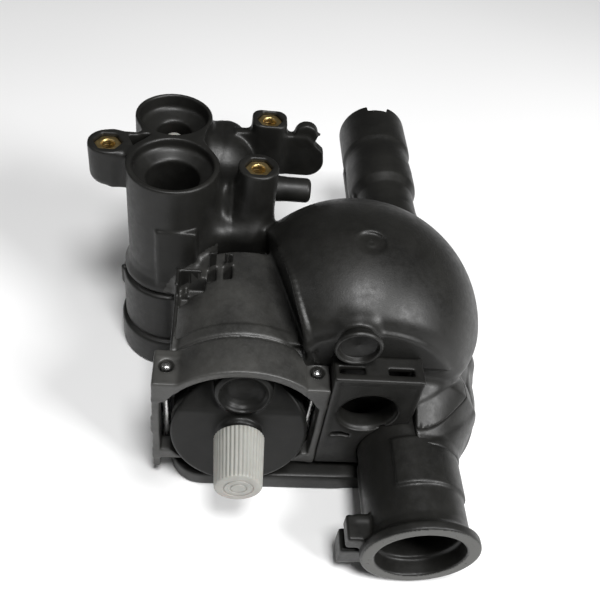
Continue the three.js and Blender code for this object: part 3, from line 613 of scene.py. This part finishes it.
def arm(f):
    corner = 8
    bend = [(ARM_RIGHT - corner + corner * math.sin(a), ARM_LOW + corner - corner * math.cos(a))
            for a in np.linspace(0, math.pi / 2, 9)]
    outline = [(26, ARM_LOW), *bend, (67.4, 93), (59, 100.5), (26, 100.5)]
    f.add(prism(1, outline, ARM_FRONT, ARM_BACK, 0.7), 1.5)
    f.add(rod(1, *ARM_LUG, 5.4, ARM_FRONT + 0.6, ARM_BACK + 0.9, 0.8), 0.8)
    f.add(bar((63.4, 36.4, 101.6), (64.6, 36.4, 101.6), 0.8), 0.2)
    f.add(prism(1, [(28, 79), (40, 79), (33, 62), (24, 62)], 33, 38, 1), 3)


def dome(f):
    shell = ball(DOME_X, DOME_Y, PARTING, DOME_R).meet(half_space(1, DOME_FACE, 1), 2.2)
    room = slanted(TRIM_POINT, TRIM_NORMAL) & half_space(2, TRIM_FLOOR, 1)
    trimmed = shell - room
    trimmed.distance = lambda x, y, z: -smooth_min(-shell.distance(x, y, z), room.distance(x, y, z), 1.4)
    f.add(trimmed & half_space(2, PARTING - 0.2, 1), 1.6)
    f.add(rod(1, DOME_X, PARTING, 39.4, DOME_FACE - 1.0, DOME_FACE + 4, 0.9) & half_space(2, 67, 1)
          & half_space(0, 58, 1), 0.9)
    trim_rib(f)
    waist = turned(2, DOME_X, DOME_Y, [
        (53.6, 46), (58.2, 40), (64, 40), (64, 58), (56, 58), (53.6, 50)])
    f.cut(waist - barrel_zone(3) - fairing_zone(1.0), 2.5)
    f.add(turned(1, SENSOR[0], SENSOR[2], [
        (0, -50), (8.6, -50), (8.6, -68), (8.0, -70.6), (7.9, -71.6), (7.0, -72.3), (0, -72.3)]), 1.6)
    f.cut(rod(2, *GATE, 5.9, 103.7, 108), 0.3)
    f.add(turned(2, *GATE, [(1.1, 102.5), (2.0, 102.5), (2.0, 104.3), (1.1, 104.3)]), 0.1)


def trim_rib(f):
    """The rib along the dome's trimmed edge, which widens towards the lug and ends in a small knob."""
    # These points are listed, and lie within 2 mm of the edge that the trim plane cuts.
    path = [(45.6, -31, 90.4), (48.5, -41, 92.0), (50.9, -49.5, 91.4), (53.4, -59.2, 87.9),
            (56.4, -67.5, 83.2), (58.4, -69.6, 76.5), (60.6, -70.2, 70.5)]
    pieces, thin, wide, knob_r = 24, 1.1, 1.9, 2.6
    along = np.linspace(0, len(path) - 1, pieces + 1)
    smooth = np.stack([np.interp(along, range(len(path)), axis) for axis in zip(*path)], 1)
    smooth[1:-1] = (smooth[:-2] + 2 * smooth[1:-1] + smooth[2:]) / 4
    for a, b, size in zip(smooth, smooth[1:], np.linspace(thin, wide, pieces)):
        f.add(bar(a, b, size), 0.5)
    f.add(ball(*path[-2], knob_r), 0.8)


def fairing_zone(grow):
    """The bulge that carries the casing's flank forward onto the flow tube."""
    cone = turned(1, FLOW_X, FLOW_Z, [
        (0, -94 - grow), (21.9 + grow, -94 - grow), (22.6 + grow, -90), (28.4 + grow, -80),
        (33.4 + grow, -71), (32.6 + grow, -63), (27 + grow, -48), (0, -48)])
    return cone & half_space(0, AT["bracket_plate"].high[0] + 0.3, 1) & half_space(2, 0, 1)


def casing(f):
    top = PARTING
    profile = [(0, 0), (69.2, 0), (70, 0.8), (70, 5.6), (68.4, 8), (65, 14), (61.4, 24), (59.6, 32),
               (57.6, 44), (DOME_R, top), (0, top)]
    flared = turned(2, DOME_X, DOME_Y, profile)
    f.add(flared.meet(half_space(1, DOME_FACE, 1), 2.5), 4)
    f.add(flared & half_space(1, TOE_FRONT, 1) & half_space(2, 9.5, -1), 1.5)
    f.add(fairing_zone(0), 5)
    reach = 54
    for a in (math.radians(-6), math.radians(-32)):
        x, y = DOME_X + reach * math.cos(a), DOME_Y + reach * math.sin(a)
        lobe = [(0, 0), (11, 0), (11, 8), (10.4, 20), (8, 32), (4.5, 36), (0, 37)]
        f.add(turned(2, x, y, lobe), 3.5)
    f.add(block(0, 50, -20, 34, 0, top, 8, 1), 3)
    f.add(block(5, 92, TOE_FRONT, -30, 0, 9, 15, 1.5), 1.5)


# ---- diverter barrel ----
def arch(radius, x0, x1, z0, y0, y1, edge=0.5):
    """The barrel's outline along Y: a round crown over flat sides and a flat foot."""
    def distance(x, y, z):
        crown = np.hypot(x - BARREL_X, np.maximum(z - BARREL_Z, 0)) - radius
        flat = np.maximum(np.maximum(crown, x0 - x), np.maximum(x - x1, z0 - z))
        return extruded(flat, y - (y0 + y1) / 2, (y1 - y0) / 2, edge)
    low = [max(x0, BARREL_X - radius), y0, z0]
    high = [min(x1, BARREL_X + radius), y1, BARREL_Z + radius]
    return Shape(low, high, distance)


def barrel_zone(grow):
    """The room that the barrel takes up, kept clear of the dome's and casing's cuts."""
    head = box(BARREL_LEFT - grow, BARREL_RIGHT + grow, BARREL_FRONT - 2, COLLAR + grow, -5, LUG_TOP + grow)
    return head | arch(REAR_R + grow, REAR_LEFT - grow, REAR_RIGHT + grow, 0, COLLAR - 1, BARREL_BACK + grow)


def barrel_rear(f):
    left, right = REAR_LEFT, REAR_RIGHT
    f.add(arch(REAR_R, left, right, BARREL_FOOT, COLLAR - 1, BARREL_BACK, 0.6), 1.6)
    f.add(bar((43.0, -24, 62.4), (54.2, -64, 60.6), 9.0), 2)
    f.add(arch(REAR_R + 1.0, left, right, BARREL_Z, COLLAR - 0.5, -58.2, 0.7), 0.3)
    f.cut(arch(REAR_R + 3, left - 3, right + 3, BARREL_Z + 6, -65.4, -64.2, 0.1)
          - arch(REAR_R - 0.2, left + 0.8, right - 0.8, 0, -70, -50), 0.2)
    f.add(prism(0, [(-66, 30), (-66, 66), (-26, 67), (-26, 30)], 58.2, 61.6, 1), 2)
    f.add(bar((4.6, -36, 66.6), (4.6, -64, 62), 1.0), 0.6)
    f.add(box(3.6, 5.2, -38, -27.4, 55, 73.4, 0.3), 0.3)
    f.add(box(3.6, 14.6, -29.6, -28, 60, 73.4, 0.3), 0.3)
    for x in (16.9, 25.2):
        f.add(box(x, x + 2.4, -24.9, -23.7, 64, 79.8, 0.2), 0.2)
    for x in (19.6, 23.6):
        f.add(box(x, x + 1.0, -25.6, -23.4, 64, 80.4, 0.2), 0.2)
    f.cut(box(8.6, 16.2, -37, -29.4, 61, 84, 0.2), 0.1)
    f.cut(box(5.6, 9.6, -39, -33.2, 59, 84, 0.2), 0.1)
    for x in (16.9, 23.6):
        f.cut(box(x, x + 3.7, -32.4, -24.9, 62, 90, 0.2), 0.1)


def barrel_head(f):
    left, right, front = BARREL_LEFT, BARREL_RIGHT, BARREL_FRONT
    f.add(arch(HOOD_R, LUG_LEFT_INNER - 1, LUG_RIGHT_INNER + 1, LUG_LOW, front, COLLAR, 0.6), 0.5)
    f.add(box(left, right, CHEEK, COLLAR, SILL, LUG_TOP, 0.5), 0.6)
    for a, b in ((left, LUG_LEFT_INNER), (LUG_RIGHT_INNER, right)):
        f.add(box(a, b, front, -69.7, LUG_LOW, LUG_TOP, 0.5), 0.5)
    f.add(box(left, LEG_LEFT, front, COLLAR, BARREL_FOOT, LUG_LOW + 2, 0.5), 0.4)
    f.add(box(LEG_RIGHT, right, front, COLLAR, SILL, LUG_LOW + 2, 0.5), 0.4)
    f.add(box(left, right, front, CHEEK, SILL, SILL + 6.5, 0.5), 0.4)
    f.add(bar((left + 0.3, front + 1.2, 33), (left + 0.3, front + 1.2, 42), 0.9), 0.6)
    mouth = rod(1, BARREL_X, BARREL_Z, MOUTH_R, front - 1, CHEEK)
    f.cut(mouth & box(LEG_LEFT, LEG_RIGHT, front - 1, CHEEK, 0, 90), 0.3)
    f.cut(rod(1, BARREL_X, BARREL_Z, PLUG_R, front - 2, PLUG_BACK), 0.2)
    for x in (PIN_LEFT, PIN_RIGHT):
        f.cut(upright(2.35, 9, LUG_TOP + 1, x, PIN_Y), 0)
        f.cut(turned(2, x, PIN_Y, [(0, 63.6), (2.4, 63.6), (3.0, 64.4), (3.0, 67), (0, 67)]), 0.1)


# ---- hollows ----
def socket(x, y, rim_r, depth, bore, floor):
    """A port's recess, with a floor that slopes to the bore."""
    base = RIM - depth
    return turned(2, x, y, [
        (0, floor), (bore, floor), (bore, base - 2.6), (bore + 0.8, base - 1.8), (rim_r - 1.4, base),
        (rim_r - 0.2, base + 1.2), (rim_r, RIM - 0.5), (rim_r + 0.5, RIM + 1), (0, RIM + 1)])


def hollows(f):
    wall, inner_r, floor, left_wall = 3.5, 50, 10, 50
    inner = ball(DOME_X, DOME_Y, PARTING, inner_r) | turned(2, DOME_X, DOME_Y, [
        (0, floor), (inner_r, floor), (52, 20), (inner_r, 30), (inner_r, PARTING + 1), (0, PARTING + 1)])
    inner = inner & half_space(1, DOME_FACE + wall, 1) & half_space(0, left_wall, 1) & half_space(2, floor, 1)
    room = slanted(TRIM_POINT, TRIM_NORMAL) & half_space(2, TRIM_FLOOR, 1)
    kept_wall = Shape(room.low, room.high, lambda x, y, z: room.distance(x, y, z) - wall)
    f.cut(inner - barrel_zone(2.5) - kept_wall, 0.5)
    f.cut(upright(36, -2, 12, DOME_X + 4, DOME_Y + 6), 0.3)
    f.cut(socket(0, 0, 17, 5, 11.3, 8), 0.2)
    f.cut(socket(SMALL_X, SMALL_Y, 15.2, 7, 7.8, 54), 0.2)
    f.cut(rod(0, 0, 30, 8, 0, 60), 0.3)
    f.cut(rod(1, SMALL_X, 56, 6, 0, SMALL_Y), 0.3)
    f.cut(rod(1, BARREL_X, BARREL_Z, CHAMBER_R, CHAMBER_FRONT, CHAMBER_BACK), 0.3)
    f.cut(rod(1, BARREL_X, BARREL_Z, THROAT_R, CHAMBER_BACK - 1, THROAT_BACK), 0)
    f.cut(prism(2, [(-20.6, 18.4), (-10.6, 19.8), (-13.6, 15.6), (-17.4, 11.8)], 97.5, RIM + 1), 0.4)
    for place in INSERTS:
        pocket = hexagon(place.mid[0], place.mid[1], INSERT_CORNER + 0.15)
        f.cut(prism(2, pocket, place.low[2] - 0.3, RIM + 1), 0)
    f.cut(rod(0, SPIGOT_Y, SPIGOT_Z, 4.2, 30, 50), 0)
    f.cut(rod(1, FLOW_X, FLOW_Z, 17.1, FLOW_BACK - 1, -60), 0)
    f.cut(rod(1, FLOW_X, FLOW_Z, 20.6, -96, FLOW_BACK), 0)
    f.cut(rod(1, RETURN_X, RETURN_Z, 13, RETURN_ROOT - 12, 60), 0)
    f.cut(rod(1, SENSOR[0], SENSOR[2], 4.8, -80, -66.7), 0.1)


def hexagon(x, y, corner_r):
    return [(x + corner_r * math.cos(a), y + corner_r * math.sin(a)) for a in np.arange(6) * math.pi / 3]


def paint(piece, material, chosen):
    """Gives a second material to the faces for which chosen(centre in millimetres, normal) is true."""
    piece.data.materials.append(material)
    index = len(piece.data.materials) - 1
    for face in piece.data.polygons:
        if chosen(face.center / MM, face.normal):
            face.material_index = index


def on_barrel(centre, _):
    """Whether a point lies on the barrel's rear half or its ring."""
    off_axis = math.hypot(centre[0] - BARREL_X, centre[2] - BARREL_Z)
    return COLLAR - 2 < centre[1] < BARREL_BACK + 3 and off_axis < REAR_R + 2.6


def moulded_block():
    low = np.minimum(AT["upper_housing"].low, AT["pump_casing"].low) - 2
    high = np.maximum(AT["upper_housing"].high, AT["pump_casing"].high) + 2
    f = Field(low, high, BLOCK_STEP)
    casing(f)
    tower(f)
    sockets(f)
    saddle(f)
    arm(f)
    dome(f)
    barrel_rear(f)
    hollows(f)
    bounds = box(*[v for lo, hi in zip(low + 2, high - 2) for v in (lo, hi)])
    f = f.only(bounds)
    f.soften()
    upper = f.only(half_space(2, PARTING, 1))
    lower = f.only(half_space(2, PARTING, -1))
    shell = moulded("upper_moulding", upper, NYLON, "housing", "black_nylon", "upper_housing",
                    soften=0, most=195_000)
    paint(shell, ROUGH_NYLON, on_barrel)
    moulded("lower_moulding", lower, NYLON, "housing", "black_nylon", "pump_casing", soften=0)
    barrel = AT["diverter_barrel"]
    head = Field(barrel.low - 2, [barrel.high[0] + 2, COLLAR + 2, 80], 0.5)
    barrel_head(head)
    moulded("barrel_head", head, ROUGH_NYLON, "housing", "black_nylon", "diverter_barrel")


moulded_block()


# ---- tubes, spigot and bracket ----
def flow_tube():
    radius, flange, front, back = 20.5, 23.9, FLOW_FRONT, FLOW_BACK
    f = Field(AT["flow_tube"].low - 2, AT["flow_tube"].high + 2, 0.5)
    f.add(turned(1, FLOW_X, FLOW_Z, [
        (0, back), (radius, back), (radius, front + 9), (radius + 0.5, front + 6),
        (radius + 1.6, front + 4.3), (flange - 0.5, front + 4), (flange, front + 3.5), (flange, front + 0.4),
        (flange - 0.4, front), (0, front)]), 0)
    sleeve = rod(1, FLOW_X, FLOW_Z, radius + 1, -111, -90, 0.4)
    f.add(sleeve & box(FLOW_X - 11, FLOW_X + 24, -111, -90, FLOW_Z + 3, FLOW_Z + 25, 0.4), 0.3)
    left = FLOW_X - radius
    f.add(box(left - 9, left + 6, -128, -117, 23.5, 31, 1.0), 0.6)
    f.add(box(left - 10, left + 7, -127, -117, 7.5, 19, 1.0), 0.6)
    f.add(box(left - 5, left + 6, -120, -117, 8, 31, 0.6), 0.6)
    f.add(bar((left + 1.2, -112, FLOW_Z - 4), (left + 1.2, -92, FLOW_Z - 4), 1.6), 1)
    f.cut(turned(1, FLOW_X, FLOW_Z, [
        (0, front - 1), (18.5, front - 1), (18.1, front + 0.5), (18.1, front + 7), (16.9, front + 7.3),
        (16.9, back + 1), (0, back + 1)]), 0)
    piece = moulded("flow_tube_moulding", f, NYLON, "housing", "black_nylon", "flow_tube", most=90_000)
    paint(piece, MACHINED, lambda centre, normal: centre[1] < front + 0.25 and normal[1] < -0.9)


def return_tube():
    root, end, x, z = RETURN_ROOT, RETURN_END, RETURN_X, RETURN_Z
    radius, rear = 18.2, 15.6
    f = Field(AT["return_tube"].low - 2, AT["return_tube"].high + 2, 0.5)
    f.add(turned(1, x, z, [
        (0, root), (rear, root), (rear, 20), (rear - 0.7, 28), (rear - 0.8, 41), (rear + 0.2, 43.5),
        (radius - 1.2, 46.2), (radius - 1.0, 49), (radius - 0.9, 60), (radius - 1.4, 71),
        (radius - 1.2, 73.5), (radius - 0.1, 76.4), (radius, 80), (radius, end - 0.6), (radius - 0.6, end),
        (0, end)]), 0)
    f.add(box(x - radius + 1.2, x - 8, 28, 76, z - 10, z - 6.2, 0.7), 0.6)
    f.add(box(x - radius + 2.2, x - 8, 26, 46, z + 1, z + 2.6, 0.6), 0.8)
    f.cut(turned(1, x, z, [(0, root - 1), (13, root - 1), (13, end - 2), (13.8, end + 1), (0, end + 1)]), 0)
    f.cut(box(x - 5.4, x + 5.4, end - 4, end + 2, z, z + radius + 2, 0.6), 0.3)
    moulded("return_tube_moulding", f, NYLON, "housing", "black_nylon", "return_tube", most=90_000)


def hose_spigot():
    x0, x1 = AT["hose_spigot"].low[0] + 6, AT["hose_spigot"].high[0]
    turned_piece("hose_spigot_moulding", 0, SPIGOT_Y, SPIGOT_Z, [
        (3.2, x0 - 6), (3.9, x0 - 6), (3.9, x0), (7.6, x0), (7.0, x0 + 2.4), (6.2, x0 + 6), (5.8, x0 + 11),
        (5.8, x1 - 1.6), (5.2, x1 - 0.5), (4.4, x1), (3.7, x1), (3.2, x1 - 1)],
        NYLON, "housing", "black_nylon", "hose_spigot", edge=0.35)


def bracket():
    place = AT["bracket_plate"]
    (x0, front, z0), (x1, back, z1) = place.low, place.high
    sheet, hole_x, hole_z, hole_r = 2.5, 84.7, 51.8, 12.3
    f = Field(place.low - 2, place.high + 2, 0.45)
    f.add(box(x0, x1, front, front + sheet, z0, z1, 0.4), 0.2)
    f.add(box(x0, x1, front, back, z1 - sheet, z1, 0.5), 0.3)
    f.add(box(x1 - 2, x1, front, back, 50, z1, 0.4), 0.3)
    f.add(box(x0, x0 + 3, front, back, z0, z1, 0.8), 0.3)
    f.add(rod(1, x0 + 1.6, z1 - 1.7, 1.6, front, back, 0.5), 0.3)
    collar_r = hole_r + 2
    f.add(turned(1, hole_x, hole_z, [
        (0, front + 1), (collar_r, front + 1), (collar_r, front + 9), (0, front + 9)]), 0.3)
    f.add(box(x0 + 1, x1 - 8, front, front + 7, z0, z0 + 1.8, 0.4), 0.3)
    web = [(x0 + 16, z0), (x0 + 17.5, z0), (x0 + 30, 38), (x0 + 28.5, 38)]
    f.add(prism(1, web, front + 1, front + 6, 0.3), 0.3)
    f.cut(rod(1, hole_x, hole_z, hole_r, front - 1, front + 1.6), 0.3)
    f.cut(rod(1, hole_x, hole_z, hole_r - 0.6, front - 1, front + 12), 0.3)
    for x in (x0 + 1.8, x0 + 21.5):
        f.cut(box(x, x + 10.4, -80.4, -77.2, z1 - 5, z1 + 1, 0.3), 0.1)
    f.cut(bar((x0 + 5.2, front + 1, 36.3), (x0 + 8.2, front + 1, 36.8), 1.5), 0.2)
    slot = [(x0 + 4, 34.9), (x0 + 4, 37.6), (x0 + 7, 38.2), (x0 + 12, 36.6), (x0 + 12, 34.4), (x0 + 7, 35.9)]
    f.cut(prism(1, slot, front - 1, front + 3), 0.2)
    f.cut(rod(1, FLOW_X, FLOW_Z, 20.9, -100, -60), 0.1)
    moulded("bracket_moulding", f, NYLON, "housing", "black_nylon", "bracket_plate", most=60_000)


def sensor_plug():
    x, _, z = SENSOR
    front, back = AT["sensor_plug"].low[1], AT["sensor_plug"].high[1]
    turned_piece("sensor_cap", 1, x, z, [
        (0, back), (4.5, back), (4.5, front + 5.4), (6.9, front + 5.4), (7.2, front + 4.9),
        (9.3, front + 1.8), (9.5, front + 1.1), (8.9, front + 0.1), (8.2, front), (7.7, front + 0.5),
        (7.4, front + 2.6), (0, front + 2.6)],
        NYLON, "housing", "black_nylon", "sensor_plug", edge=0.3)


# ---- bonnet ----
def tilted(shape, pivot, angle):
    """A shape turned about the X axis through pivot (y, z), from Y towards Z."""
    c, s = math.cos(angle), math.sin(angle)

    def distance(x, y, z):
        v, w = y - pivot[0], z - pivot[1]
        return shape.distance(x, pivot[0] + c * v + s * w, pivot[1] - s * v + c * w)
    reach = np.abs(np.concatenate([shape.low[1:] - pivot, shape.high[1:] - pivot])).max() * 1.45
    low = [shape.low[0], pivot[0] - reach, pivot[1] - reach]
    high = [shape.high[0], pivot[0] + reach, pivot[1] + reach]
    return Shape(low, high, distance)


def bonnet():
    """A plug in the barrel, a disc that leans back under a sloping ledge, and a cup above it."""
    x, z = BARREL_X, BARREL_Z
    back, face, lean = AT["bonnet"].high[1], -87, math.radians(-12)
    f = Field(AT["bonnet"].low - 2, AT["bonnet"].high + 2, 0.4)
    f.add(turned(1, x, z, [
        (0, back), (12, back), (14, -66.2), (30.6, -66.2), (30.6, -67.6), (29, -67.6), (29, -70.2),
        (30.6, -70.2), (30.6, -72.0), (27, -72.4), (26, -79), (26, -82), (0, -82)]), 0)
    f.add(tilted(turned(1, x, z, [
        (0, face), (26.8, face), (27.7, face + 0.5), (28, face + 1.4), (28, face + 7), (26.6, face + 8.4),
        (0, face + 8.4)]), (face, z), lean), 0.6)
    f.cut(tilted(box(x - 34, x + 34, -84.5, -50, 50.4, 90), (-84.5, 50.4), math.radians(56)), 0.5)
    cup_x, cup_y, cup_z = 33.7, -84.4, 61.6
    pivot, tip = (cup_y, cup_z), math.radians(-8)
    cup = turned(1, cup_x, cup_z, [
        (0, cup_y + 12), (11.6, cup_y + 12), (11.6, cup_y + 1.2), (11.1, cup_y + 0.7), (10.5, cup_y + 0.6),
        (10.3, cup_y), (9.6, cup_y), (0, cup_y)])
    bowl = turned(1, cup_x, cup_z, [
        (0, cup_y + 5.4), (3.4, cup_y + 5.0), (6.2, cup_y + 3.9), (8.0, cup_y + 2.4), (8.8, cup_y + 1.1),
        (9.5, cup_y + 0.9), (9.6, cup_y - 2), (0, cup_y - 2)])
    room = rod(1, x, z, 33.2, -90, CHEEK - 1)
    f.add(tilted(cup, pivot, tip) & room, 0.8)
    f.cut(tilted(bowl, pivot, tip), 0.1)
    f.add(turned(1, x, z, [
        (0, -84), (9.6, -84), (9.0, -87.2), (7.6, -88.4), (7.5, -97), (6.5, -98), (0, -98)]), 0.5)
    f.cut(turned(1, x, z, [(7.6, -88.75), (11.2, -88.75), (11.2, -100), (7.6, -100)]), 0)
    f.cut(rod(1, x, z, 3, -110, -60), 0)
    moulded("bonnet_moulding", f, BONNET_NYLON, "housing", "bonnet_nylon", "bonnet", most=140_000)


# ---- knob, pins, inserts and poppet ----
def knob():
    """A fluted, tapered knob with two rings on its end, hollow behind."""
    x, z, place = BARREL_X, BARREL_Z, AT["knob"]
    back, front = place.high[1], place.low[1]
    flutes, depth = 36, 0.42
    wide, narrow = 10.35, 9.45

    def fluted(along, share=1.0, inset=0.0):
        radius = narrow + (wide - narrow) * (along - front) / (back - front) - inset

        def at(angle):
            wave = 0.5 + 0.5 * math.cos(flutes * angle)
            return radius - share * depth * (1 - wave ** 0.6)
        return ring(1, x, z, at, along, flutes * 8)

    rings = [fluted(back, 0.4, 0.5), fluted(back - 0.5), fluted(back - 7), fluted(front + 7),
             fluted(front + 1.4), fluted(front + 0.9, 0.7, 0.08), fluted(front + 0.4, 0.2, 0.3),
             fluted(front + 0.1, 0, 0.75), fluted(front, 0, 1.1)]
    sides = flutes * 8
    face_rings = [(6.2, 0), (6.0, 0.3), (5.5, 0.3), (5.3, 0), (3.6, 0), (3.4, 0.3), (2.9, 0.3), (2.7, 0),
                  (0.02, 0)]
    for radius, rise in face_rings:
        rings.append(ring(1, x, z, radius, front + rise, sides))
    for radius, along in ((0.02, front + 3), (7.8, front + 3), (8.2, front + 3.4), (8.2, back)):
        rings.append(ring(1, x, z, radius, along, sides))
    vertices, quads = loft(rings, closed=True)
    piece = new_piece("knob_fluted", vertices, quads, GREY, "knob", "grey_plastic", "knob")
    if signed_volume(piece.data) < 0:
        piece.data.flip_normals()
    piece.data.set_sharp_from_angle(angle=math.radians(35))


def pins():
    for name, x in (("pin_left", PIN_LEFT), ("pin_right", PIN_RIGHT)):
        low, high = AT[name].low[2], AT[name].high[2]
        turned_piece(name + "_round", 2, x, PIN_Y, [
            (0, low), (1.55, low), (1.95, low + 1), (1.95, high - 1.1), (1.5, high - 0.35),
            (0.7, high), (0, high)],
            STEEL, name, "steel", name, edge=0.1, sides=40)


def inserts():
    for name in ("insert_left", "insert_front", "insert_rear"):
        place = AT[name]
        (x, y, _), low, high = place.mid, place.low[2], place.high[2]
        f = Field(place.low - 1, place.high + 1, 0.22)
        f.add(prism(2, hexagon(x, y, INSERT_CORNER), low, high, 0.15), 0)
        f = f.only(turned(2, x, y, [(0, low), (6.1, low), (6.1, high - 0.5), (5.3, high), (0, high)]))
        thread = [(0, low - 1), (2.6, low - 1)]
        for turn in np.arange(low, high - 1.2, 1.0):
            thread += [(2.6, turn), (3.05, turn + 0.5)]
        f.cut(turned(2, x, y, [*thread, (2.6, high - 1.0), (3.3, high + 0.2), (0, high + 0.2)]), 0)
        moulded(name + "_nut", f, BRASS, "housing", "brass", name, most=30_000)


def check_valve():
    place = AT["check_poppet"]
    low, high = place.low[2], place.high[2]
    turned_piece("check_poppet_tip", 2, SMALL_X, SMALL_Y, [
        (0, low), (1.8, low), (1.8, high - 8), (4.3, high - 8), (4.3, high - 3), (3.6, high - 1),
        (2.4, high - 0.2), (1.4, high), (0, high)],
        GREY, "check_poppet", "grey_plastic", "check_poppet", edge=0.3, sides=48)


def carried_over():
    """The CAD nodes that keep their own shape get a finished material."""
    finishes = {"brass": BRASS, "steel": STEEL, "rubber": RUBBER, "grey_plastic": GREY, "black_nylon": NYLON,
                "bonnet_nylon": BONNET_NYLON}
    slots = {part["node"]: part["material_slot"] for part in frame["record"]["subparts"]}
    for name, node in frame["nodes"].items():
        node.data.materials.clear()
        node.data.materials.append(finishes[slots[name]])


flow_tube()
return_tube()
hose_spigot()
bracket()
sensor_plug()
bonnet()
knob()
pins()
inserts()
check_valve()
carried_over()


# ---- camera, lights and floor ----
def camera():
    """The photograph's viewpoint: pitch down, roll and yaw of the camera, in degrees."""
    pitch, roll, yaw = (math.radians(a) for a in (46.577, 10.562, -9.987))
    place = Vector((18.8, -253.0, 298.9)) * MM
    forward = Vector((-math.sin(yaw) * math.cos(pitch), math.cos(yaw) * math.cos(pitch), -math.sin(pitch)))
    level = Vector((math.cos(yaw), math.sin(yaw), 0))
    above = level.cross(forward)
    right = math.cos(roll) * level + math.sin(roll) * above
    up = -math.sin(roll) * level + math.cos(roll) * above
    data = bpy.data.cameras.new("camera")
    data.lens, data.sensor_width = 44.58, 36
    made = bpy.data.objects.new("camera", data)
    turn = Matrix((right, up, -forward)).transposed().to_4x4()
    made.matrix_world = Matrix.Translation(place) @ turn
    bpy.context.scene.collection.objects.link(made)
    bpy.context.scene.camera = made


def light(name, place, aim, size, power):
    data = bpy.data.lights.new(name, "AREA")
    data.shape = "RECTANGLE"
    data.size, data.size_y = size
    data.energy = power
    made = bpy.data.objects.new(name, data)
    made.location = place
    made.rotation_euler = (Vector(aim) - Vector(place)).to_track_quat("-Z", "Y").to_euler()
    bpy.context.scene.collection.objects.link(made)


def studio():
    world = bpy.data.worlds.new("studio")
    world.use_nodes = True
    world.node_tree.nodes["Background"].inputs[0].default_value = (1, 1, 1, 1)
    world.node_tree.nodes["Background"].inputs[1].default_value = 0.08
    bpy.context.scene.world = world
    centre = (0.05, 0, 0.04)
    light("key", (0.72, -0.5, 0.72), centre, (0.32, 0.32), 10)
    light("top", (0.12, -0.34, 1.04), centre, (0.3, 0.3), 10)
    light("left_strip", (-0.7, -0.1, 0.7), centre, (0.06, 0.3), 0.5)
    bpy.ops.mesh.primitive_plane_add(size=6, location=(0, 0, 0))
    floor = bpy.context.object
    floor.name = "floor"
    n = Nodes("floor_paper")
    colour = n.ramp(n.noise(3, 2), (0.3, (0.84, 0.84, 0.84)), (0.7, (0.88, 0.88, 0.88)))
    floor.data.materials.append(n.finish(Base_Color=colour, Roughness=0.9))
    bpy.context.scene.view_settings.view_transform = "Standard"


camera()
studio()
